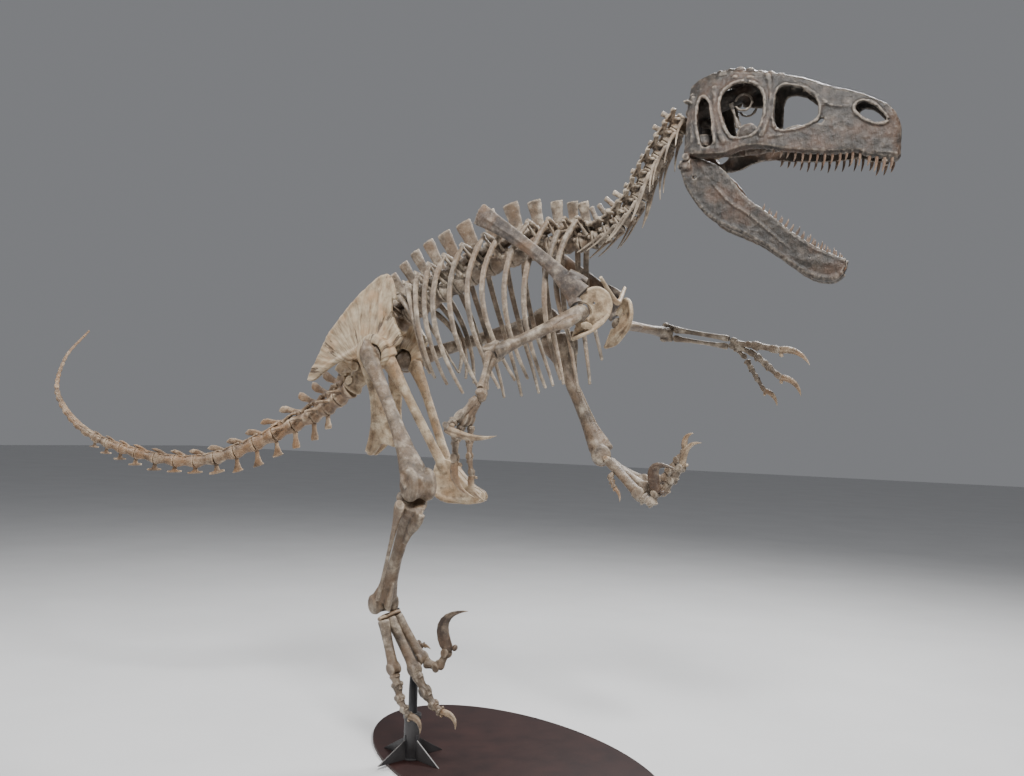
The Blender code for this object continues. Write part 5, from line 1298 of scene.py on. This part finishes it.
def head_ring(row, wall=0.0):
    side = head_side(row)
    if wall:
        side = [(max(0.003, out - wall), z) for out, z in side]
        side[0] = (max(0.003, side[0][0] - 0.006), side[0][1] - 0.05)
        side[1] = (side[0][0], side[1][1])
        side[3], side[4] = (side[3][0], side[3][1] - 0.003), (side[4][0], side[4][1] - 0.009)
    corners = [Vector((-out, z)) for out, z in side] + [Vector((out, z)) for out, z in side[::-1]]
    return [at(row[0], c.x, c.y) for c in smooth_ring(corners, 3)]


WINDOWS = {
    "behind": [(0.599, 2.194), (0.617, 2.174), (0.624, 2.135), (0.630, 2.095), (0.639, 2.053), (0.620, 2.033),
               (0.600, 2.040), (0.586, 2.091), (0.580, 2.150), (0.585, 2.187)],
    "eye": [(0.684, 2.223), (0.718, 2.232), (0.758, 2.214), (0.777, 2.175), (0.778, 2.133), (0.770, 2.093),
            (0.750, 2.067), (0.716, 2.059), (0.693, 2.062), (0.676, 2.084), (0.662, 2.121), (0.652, 2.161),
            (0.658, 2.199)],
    "before": [(0.812, 2.160), (0.817, 2.200), (0.838, 2.215), (0.875, 2.206), (0.906, 2.192), (0.928, 2.163),
               (0.936, 2.130), (0.928, 2.105), (0.900, 2.089), (0.867, 2.079), (0.830, 2.077),
               (0.813, 2.100)],
    "slit": [(0.932, 2.089), (0.941, 2.103), (0.953, 2.104), (0.947, 2.091)],
    "nostril": [(1.040, 2.133), (1.056, 2.146), (1.080, 2.139), (1.106, 2.117), (1.123, 2.094),
                (1.115, 2.082),
                (1.091, 2.083), (1.063, 2.099), (1.044, 2.116)]}
shell = skin([head_ring(row) for row in head_rows])
inner_rows = [row for row in head_rows if 0.560 < row[0] < 1.130]
tools = [skin([head_ring(row, 0.0085) for row in inner_rows])]
tools += [slab(smooth_ring(outline, 3), 0.25) for outline in WINDOWS.values()]
for side in (-1, 1):
    tools.append(lump(at(0.624, side * 0.034, 2.292), (0.036, 0.019, 0.034)))
    tools.append(lump(at(0.542, side * 0.060, 2.105), (0.034, 0.020, 0.052)))
    tools.append(lump(at(0.968, side * 0.064, 2.128), (0.040, 0.0075, 0.036)))
carved(shell, tools)

forms = []
for outline, size in (("behind", 0.0058), ("eye", 0.0066), ("before", 0.0045), ("nostril", 0.0055)):
    ring = smooth_ring(WINDOWS[outline], 3)
    centre = sum(ring, Vector((0, 0))) / len(ring)
    ring = [c + (c - centre).normalized() * 0.0055 for c in ring]
    run = [cheek(c.x, c.y, 0.0005) for c in ring + ring[:2]]
    forms.append(hoops(run, [(size, size)] * len(run), Vector((0.1, 1, 0.1)), 8))
for spots, sizes in (
        (((0.630, 2.225), (0.636, 2.160), (0.648, 2.095), (0.668, 2.048), (0.690, 2.028)),
         (0.012, 0.0095, 0.0105, 0.012, 0.010)),
        (((0.556, 2.215), (0.568, 2.161), (0.567, 2.108), (0.570, 2.060), (0.560, 2.030)),
         (0.010, 0.009, 0.010, 0.010, 0.011)),
        (((0.786, 2.250), (0.797, 2.195), (0.796, 2.145), (0.789, 2.100), (0.776, 2.058)),
         (0.013, 0.0095, 0.0090, 0.010, 0.012)),
        (((0.560, 2.022), (0.607, 2.016), (0.668, 2.018), (0.722, 2.040), (0.780, 2.052), (0.835, 2.060)),
         (0.010, 0.012, 0.013, 0.012, 0.010, 0.006)),
        (((0.800, 2.026), (0.880, 2.014), (0.970, 2.008), (1.040, 2.010), (1.062, 2.004)),
         (0.006, 0.0075, 0.0080, 0.0085, 0.006)),
        (((0.858, 2.228), (0.900, 2.200), (0.934, 2.172), (0.966, 2.144), (1.020, 2.133)),
         (0.006, 0.0080, 0.0088, 0.0080, 0.005)),
        (((0.640, 2.268), (0.715, 2.262), (0.790, 2.254), (0.877, 2.234), (0.950, 2.206), (1.040, 2.174),
          (1.120, 2.130)),
         (0.009, 0.0085, 0.0095, 0.007, 0.006, 0.006, 0.005)),
        (((1.062, 2.000), (1.090, 1.998), (1.130, 1.992), (1.152, 1.990)), (0.006, 0.008, 0.008, 0.006))):
    count = 5 * len(spots)
    line = smooth_line([Vector(s) for s in spots], count)
    girth = smooth_line([Vector((s, 0)) for s in sizes], count)
    forms.append(hoops([cheek(p.x, p.y, -0.002) for p in line], [(g.x, g.x * 0.75) for g in girth],
                       Vector((0.7, 0, 0.7)), 10))
for n in range(17):
    x = 0.640 + 0.030 * n
    size = 0.0075 + 0.0045 * math.sin(n * 2.4) ** 2 if n < 8 else 0.0050 + 0.003 * math.sin(n * 1.9) ** 2
    forms.append(lump(at(x, -head_half(x, 3.0) - 0.006, min(2.281, 2.293 - 0.00006 * n ** 3 - 0.0048 * n)),
                      (size * 1.25, size * 0.9, size * 0.8)))
forms += [lump(cheek(0.655, 2.262, -0.004), (0.020, 0.010, 0.014)),
          lump(cheek(0.792, 2.252, -0.004), (0.017, 0.010, 0.016)),
          lump(cheek(0.690, 2.250, -0.002), (0.012, 0.008, 0.008)),
          lump(cheek(0.735, 2.247, -0.002), (0.014, 0.008, 0.008))]
forms += [rod(at(0.562, -0.072, 2.205), at(0.553, -0.089, 2.014),
              [(0.009, 0.009), (0.010, 0.012), (0.010, 0.014),
               (0.011, 0.012), (0.012, 0.013)]),
          roller(at(0.552, -0.088, 2.012), ACROSS, 0.0125, 0.019, 0.82, 18),
          rod(at(0.560, -0.004, 2.214), at(0.547, -0.086, 2.186),
              [(0.017, 0.007), (0.014, 0.0065), (0.012, 0.006),
              (0.015, 0.007)], UP),
          rod(at(0.578, -0.070, 2.074), at(0.700, -0.036, 2.050),
              [(0.018, 0.004), (0.022, 0.004), (0.020, 0.004),
              (0.016, 0.004)], (0, 0.4, 1)),
          rod(at(0.700, -0.036, 2.050), at(1.000, -0.007, 2.052),
              [(0.014, 0.004), (0.012, 0.004), (0.016, 0.004),
              (0.012, 0.004), (0.007, 0.004)], (0, 1, 0.5)),
          rod(at(0.722, -0.036, 2.046), at(0.752, -0.086, 2.044),
              [(0.012, 0.005), (0.010, 0.005), (0.013, 0.005)], (1, 0, 0)),
          lump(at(0.872, -0.030, 2.078), (0.044, 0.0045, 0.021)),
          lump(at(0.720, -0.022, 2.092), (0.034, 0.0045, 0.030),
              Vector((0.8, 0.1, 0.6))),
          lump(at(0.612, -0.050, 2.062), (0.026, 0.0045, 0.027), Vector((0.9, 0.2, 0.1))),
          rod(at(0.690, -0.020, 2.110), at(0.668, -0.026, 2.190),
              [(0.007, 0.005), (0.005, 0.004), (0.008, 0.005)], (1, 0, 0))]
scroll = [at(0.708 + 0.026 * math.cos(a * 0.5), -0.030, 2.186 + 0.026 * math.sin(a * 0.5)) for a in range(14)]
forms.append(hoops(scroll, [(0.0042, 0.0042)] * 14, ACROSS, 8))
upper_teeth = [(0.810, 2.017, 0.018), (0.832, 2.015, 0.023), (0.852, 2.012, 0.021), (0.872, 2.009, 0.029),
               (0.893, 2.006, 0.034), (0.915, 2.002, 0.028), (0.935, 2.000, 0.029), (0.955, 1.998, 0.036),
               (0.977, 1.997, 0.031), (0.998, 1.996, 0.035), (1.016, 1.996, 0.022), (1.033, 1.998, 0.039),
               (1.053, 1.998, 0.043), (1.078, 1.982, 0.026), (1.098, 1.980, 0.042), (1.119, 1.979, 0.042),
               (1.139, 1.977, 0.034)]
for x, z, length in upper_teeth:
    forms.append(lump(cheek(x, z + 0.012, -0.003), (0.0085, 0.0065, 0.0125)))
forms += [other_side(form, "twin") for form in list(forms)]
forms += [hoops(smooth_line([at(0.545, 0, 2.165), at(0.570, 0, 2.190), at(0.620, 0, 2.206),
                             at(0.680, 0, 2.216),
                             at(0.735, 0, 2.236), at(0.800, 0, 2.252)], 12),
                [(0.028, 0.026), (0.034, 0.034), (0.038, 0.040), (0.040, 0.042), (0.038, 0.040),
                 (0.034, 0.036),
                 (0.028, 0.032), (0.024, 0.030), (0.020, 0.028), (0.017, 0.024), (0.014, 0.018),
                 (0.010, 0.010)],
                ACROSS, 18),
          lump(at(0.532, 0, 2.178), (0.015, 0.018, 0.016)), lump(at(0.560, 0, 2.262), (0.016, 0.020, 0.018)),
          slab([(0.700, 2.180), (0.760, 2.170), (0.800, 2.200), (0.800, 2.262), (0.700, 2.262)], 0.0032),
          rod(at(0.560, 0, 2.150), at(0.640, 0, 2.120), [(0.016, 0.014), (0.014, 0.014), (0.008, 0.010)])]
skull = cast("skull_bone", [shell] + forms, 0.0026, 3, 0.020, 0.0050, 0.55)


def head_paint(name, inside):
    """Dark grey-brown cast bone, wrinkled and pitted, rubbed pale on every ridge, rusty in places, with
    painted shade near-black in its hollows.
    """
    paint = Paint(name)
    parts = paint.node("ShaderNodeSeparateXYZ", None, {0: paint.place})
    ahead, side, height = (Tint(paint, parts.socket.node.outputs[k]) for k in range(3))
    blotch = paint.speckle(11.0, 5.0)
    patch = paint.speckle(34.0, 7.0, 0.62)
    wrinkle = paint.speckle(62.0, 6.0, 0.68, (1, 1, 0.42))
    pit = paint.speckle(230.0, 4.0, 0.7)
    tone = paint.steps(patch, (0.30, (0.011, 0.009, 0.007)), (0.50, (0.032, 0.025, 0.019)),
                       (0.72, (0.090, 0.070, 0.053)))
    rust = paint.steps(blotch, (0.50, black(0.0)), (0.64, black(1.0)))
    tone = paint.blend(rust * 0.50, tone, (0.115, 0.062, 0.036, 1))
    off = paint.node("ShaderNodeMath", {"operation": 'ABSOLUTE'}, {0: side + 0.13})
    if inside:
        within = paint.steps(0.097 - 0.166 * (ahead - 0.59) - off, (0.0005, black(0.0)), (0.004, black(1.0)))
        above = paint.steps(height - 1.95 + 0.735 * (ahead - 0.64), (0.030, black(0.0)), (0.060, black(1.0)))
        tone = paint.blend(within * above * 0.80, tone, (0.36, 0.155, 0.062, 1))
    edge = paint.node("ShaderNodeNewGeometry", out="Pointiness")
    worn = paint.steps(edge, (0.510, black(0.0)), (0.555, black(1.0)))
    # painted shade: hollows and creases are darkened almost to black where shade would fall
    hollow = paint.steps(edge, (0.45, black(1.0)), (0.492, black(0.0)))
    tone = paint.blend(hollow * 0.85, tone, (0.009, 0.007, 0.006, 1))
    tone = paint.blend(worn * (0.35 + 0.6 * patch), tone, (0.46, 0.39, 0.315, 1))
    lines = paint.steps(wrinkle, (0.36, black(1.0)), (0.46, black(0.0)))
    tone = paint.blend(lines * 0.45, tone, (0.020, 0.015, 0.012, 1))
    return paint.finish(tone, 0.46 + 0.18 * lines - 0.08 * patch, wrinkle * 0.7 + pit * 0.3, 0.0060)


settled(skull, head_paint("skull_dark", False), "bone_dark", "skull")


# ------------------------------------------------------------------ teeth above
# Thirteen spaced cheek teeth and four longer front ones on each side, flat curved blades of dark
# red-brown resin, each glued in its own socket in the jaw.
# The pale tips and edges are partly wear and partly painted highlight, standing in for glints on the glossy
# teeth.
TOOTH = bone_paint("tooth_enamel", (0.022, 0.011, 0.008), (0.080, 0.044, 0.030), (0.420, 0.330, 0.245),
                   (0.120, 0.058, 0.034), (1, 1, 0.3), 0.34, 0.25, 0.9)
TOOTH_LONG = 0.0355
tooth = hoops([Vector((x, 0, z)) for x,
               z in ((0.001, 0.008), (0.0015, 0.0), (0.0015, -0.008), (0.0006, -0.016),
                    (-0.0014, -0.024), (-0.0040, -0.031), (-0.0065, -0.0355))],
              [(0.0048, 0.0034), (0.0056, 0.0038), (0.0053, 0.0036), (0.0046, 0.0031), (0.0035, 0.0024),
               (0.0021, 0.0015), (0.0004, 0.0004)], Vector((1, 0, 0)), 10)
round_off = tooth.modifiers.new("round_off", 'SUBSURF')
round_off.levels = round_off.render_levels = 1
bpy.ops.object.modifier_apply(modifier="round_off")
bpy.ops.object.shade_smooth()
for side, word in ((-1, "right"), (1, "left")):
    for n, (x, z, length) in enumerate(upper_teeth, 1):
        spot = at(x, side * (head_half(x, z) - 0.004), z + 0.004)
        ahead = Vector((1, side * 0.20, 0.02 * (n % 3 - 1))).normalized()
        thick = 1.0 if n < 14 else 1.25
        place = seat(spot, ahead, Vector((0.06 * math.sin(n * 1.7), side * 0.08, 1)),
                     (0.80 * thick + 0.004 / length * 0.3, thick, (length + 0.004) / TOOTH_LONG))
        settled(copied(tooth, "upper_tooth_%s_%02d" % (word, n), place), TOOTH, "bone_dark", "skull")


# ------------------------------------------------------------------ lower jaw
# Two deep thin halves of cast resin meet at the chin, pinned wide open under the back of the skull.
# Each has a small hole at the back, a seam across it and a groove below the teeth.
def ramus(x):
    return 0.097 - 0.078 * min(1.0, max(0.0, (x - 0.50) / 0.47))


jaw_low = [(0.530, 2.000), (0.536, 1.975), (0.546, 1.950), (0.562, 1.912), (0.597, 1.862), (0.639, 1.820),
           (0.717, 1.781), (0.775, 1.749), (0.834, 1.706), (0.891, 1.663), (0.937, 1.639), (0.981, 1.634),
           (1.009, 1.652)]
jaw_top = [(1.018, 1.680), (0.990, 1.690), (0.960, 1.704), (0.925, 1.722), (0.890, 1.745), (0.849, 1.776),
           (0.809, 1.811), (0.773, 1.842), (0.738, 1.868), (0.708, 1.899), (0.678, 1.941), (0.641, 1.977),
           (0.593, 1.997), (0.560, 2.004)]
forms = [nudged(slab(smooth_ring(jaw_low + jaw_top, 2), 0.0078), lambda x, y, z: (0.0, -ramus(x), 0.0))]
for spots, lift, sizes in (
        (jaw_low[1:], 0.0,
         (0.006, 0.007, 0.009, 0.010, 0.010, 0.010, 0.010, 0.010, 0.011, 0.012, 0.012, 0.009)),
        (jaw_top[:8], 0.0, (0.009, 0.010, 0.010, 0.010, 0.0095, 0.009, 0.008, 0.007)),
        (jaw_top[7:], 0.0, (0.007, 0.0065, 0.0065, 0.007, 0.008, 0.009, 0.010)),
        (((0.612, 1.950), (0.643, 1.912), (0.691, 1.861), (0.739, 1.829), (0.800, 1.775), (0.870, 1.713)),
         0.0045,
         (0.004, 0.006, 0.007, 0.007, 0.006, 0.004))):
    count = 3 * len(spots)
    line = smooth_line([Vector(s) for s in spots], count)
    girth = smooth_line([Vector((s, 0)) for s in sizes], count)
    forms.append(hoops([at(p.x, -ramus(p.x) - lift, p.y) for p in line], [(g.x, g.x * 0.95) for g in girth],
                       ACROSS, 12))
forms += [rod(at(0.566, -0.092, 1.992), at(0.524, -0.084, 1.985),
              [(0.013, 0.010), (0.012, 0.011), (0.008, 0.008)]),
          lump(at(0.552, -0.090, 1.982), (0.018, 0.016, 0.016))]
forms += [other_side(form, "twin") for form in list(forms)]
forms.append(rod(at(0.982, -0.020, 1.664), at(0.982, 0.020, 1.664),
                 [(0.030, 0.020), (0.031, 0.021), (0.030, 0.020)], (1, 0, 0.1)))
jaw = cast("lower_jaw_bone", forms, 0.0024, 4, 0.020, 0.0045, 0.6)
tools = []
for spots, size in ((((0.762, 1.826), (0.809, 1.779), (0.862, 1.733), (0.919, 1.694)), 0.0035),
                    (((0.556, 1.930), (0.584, 1.877), (0.640, 1.846), (0.700, 1.808)), 0.0024),
                    (((0.728, 1.795), (0.742, 1.815), (0.748, 1.850)), 0.0026)):
    line = smooth_line([Vector(s) for s in spots], 14)
    for side in (-1, 1):
        tools.append(hoops([at(p.x, side * (ramus(p.x) + 0.0115), p.y) for p in line], [(size, size)] * 14,
                           UP, 8))
for side in (-1, 1):
    tools.append(rod(at(0.576, side * 0.05, 1.948), at(0.576, side * 0.14, 1.948), [(0.0058, 0.0058)] * 2,
                     (1, 0, 0)))
carved(jaw, tools)
settled(jaw, head_paint("jaw_dark", True), "bone_dark", "lower_jaw")

for side, word in ((-1, "right"), (1, "left")):
    line = Line([at(x, side * ramus(x), z) for x,
                 z in ((1.004, 1.686), (0.960, 1.706), (0.890, 1.748), (0.809, 1.814),
                       (0.764, 1.848))])
    for n in range(14):
        mark = line.length * (n + 0.3) / 14
        ahead = -line.heading(mark)
        length = (0.021 + 0.010 * math.sin(math.pi * (n + 1.5) / 15)) * (1.0 if n % 2 else 0.82)
        place = seat(line.at(mark), ahead, -UP - Vector((0.75, 0, 0)), (0.86, 1.0, length / TOOTH_LONG))
        settled(copied(tooth, "lower_tooth_%s_%02d" % (word, n + 1), place), TOOTH, "bone_dark", "lower_jaw")
done_with(tooth)


# ------------------------------------------------------------------ studio
# A plain pale floor under soft lamps, with the camera low and to the right of the animal.
def floor_paint():
    paint = Paint("studio_floor")
    haze = paint.speckle(1.5, 3.0)
    return paint.finish(paint.steps(haze, (0.2, black(0.60)), (0.8, black(0.66))), 0.75)


nothing_picked()
bpy.ops.mesh.primitive_plane_add(size=60, location=(0, 0, 0))
floor = bpy.context.object
floor.name = "studio_floor"
floor.data.materials.append(floor_paint())
world = bpy.context.scene.world or bpy.data.worlds.new("studio")
bpy.context.scene.world = world
world.use_nodes = True
world.node_tree.nodes["Background"].inputs["Color"].default_value = (0.93, 0.95, 1.0, 1)
world.node_tree.nodes["Background"].inputs["Strength"].default_value = 0.22
for spot, size, watts in (((2.2, -3.0, 5.0), 1.1, 400), ((-3.6, -1.6, 3.8), 2.0, 130),
                          ((0.8, 3.0, 4.6), 1.6, 300)):
    bpy.ops.object.light_add(type='AREA', location=spot)
    lamp = bpy.context.object
    lamp.data.energy, lamp.data.size = watts, size
    lamp.rotation_euler = (Vector((0, 0, 1.2)) - Vector(spot)).to_track_quat('-Z', 'Y').to_euler()
right, above = Vector((0.8989, 0.4370, 0.0350)), Vector((-0.0130, -0.0530, 0.9985))
right = (right - above * right.dot(above) / above.length_squared).normalized()
above.normalize()
bpy.ops.object.camera_add(location=(1.518, -3.191, 1.153))
camera = bpy.context.object
camera.rotation_euler = Matrix((right, above, right.cross(above))).transposed().to_euler()
camera.data.lens, camera.data.sensor_width = 35.156, 36.0
bpy.context.scene.camera = camera
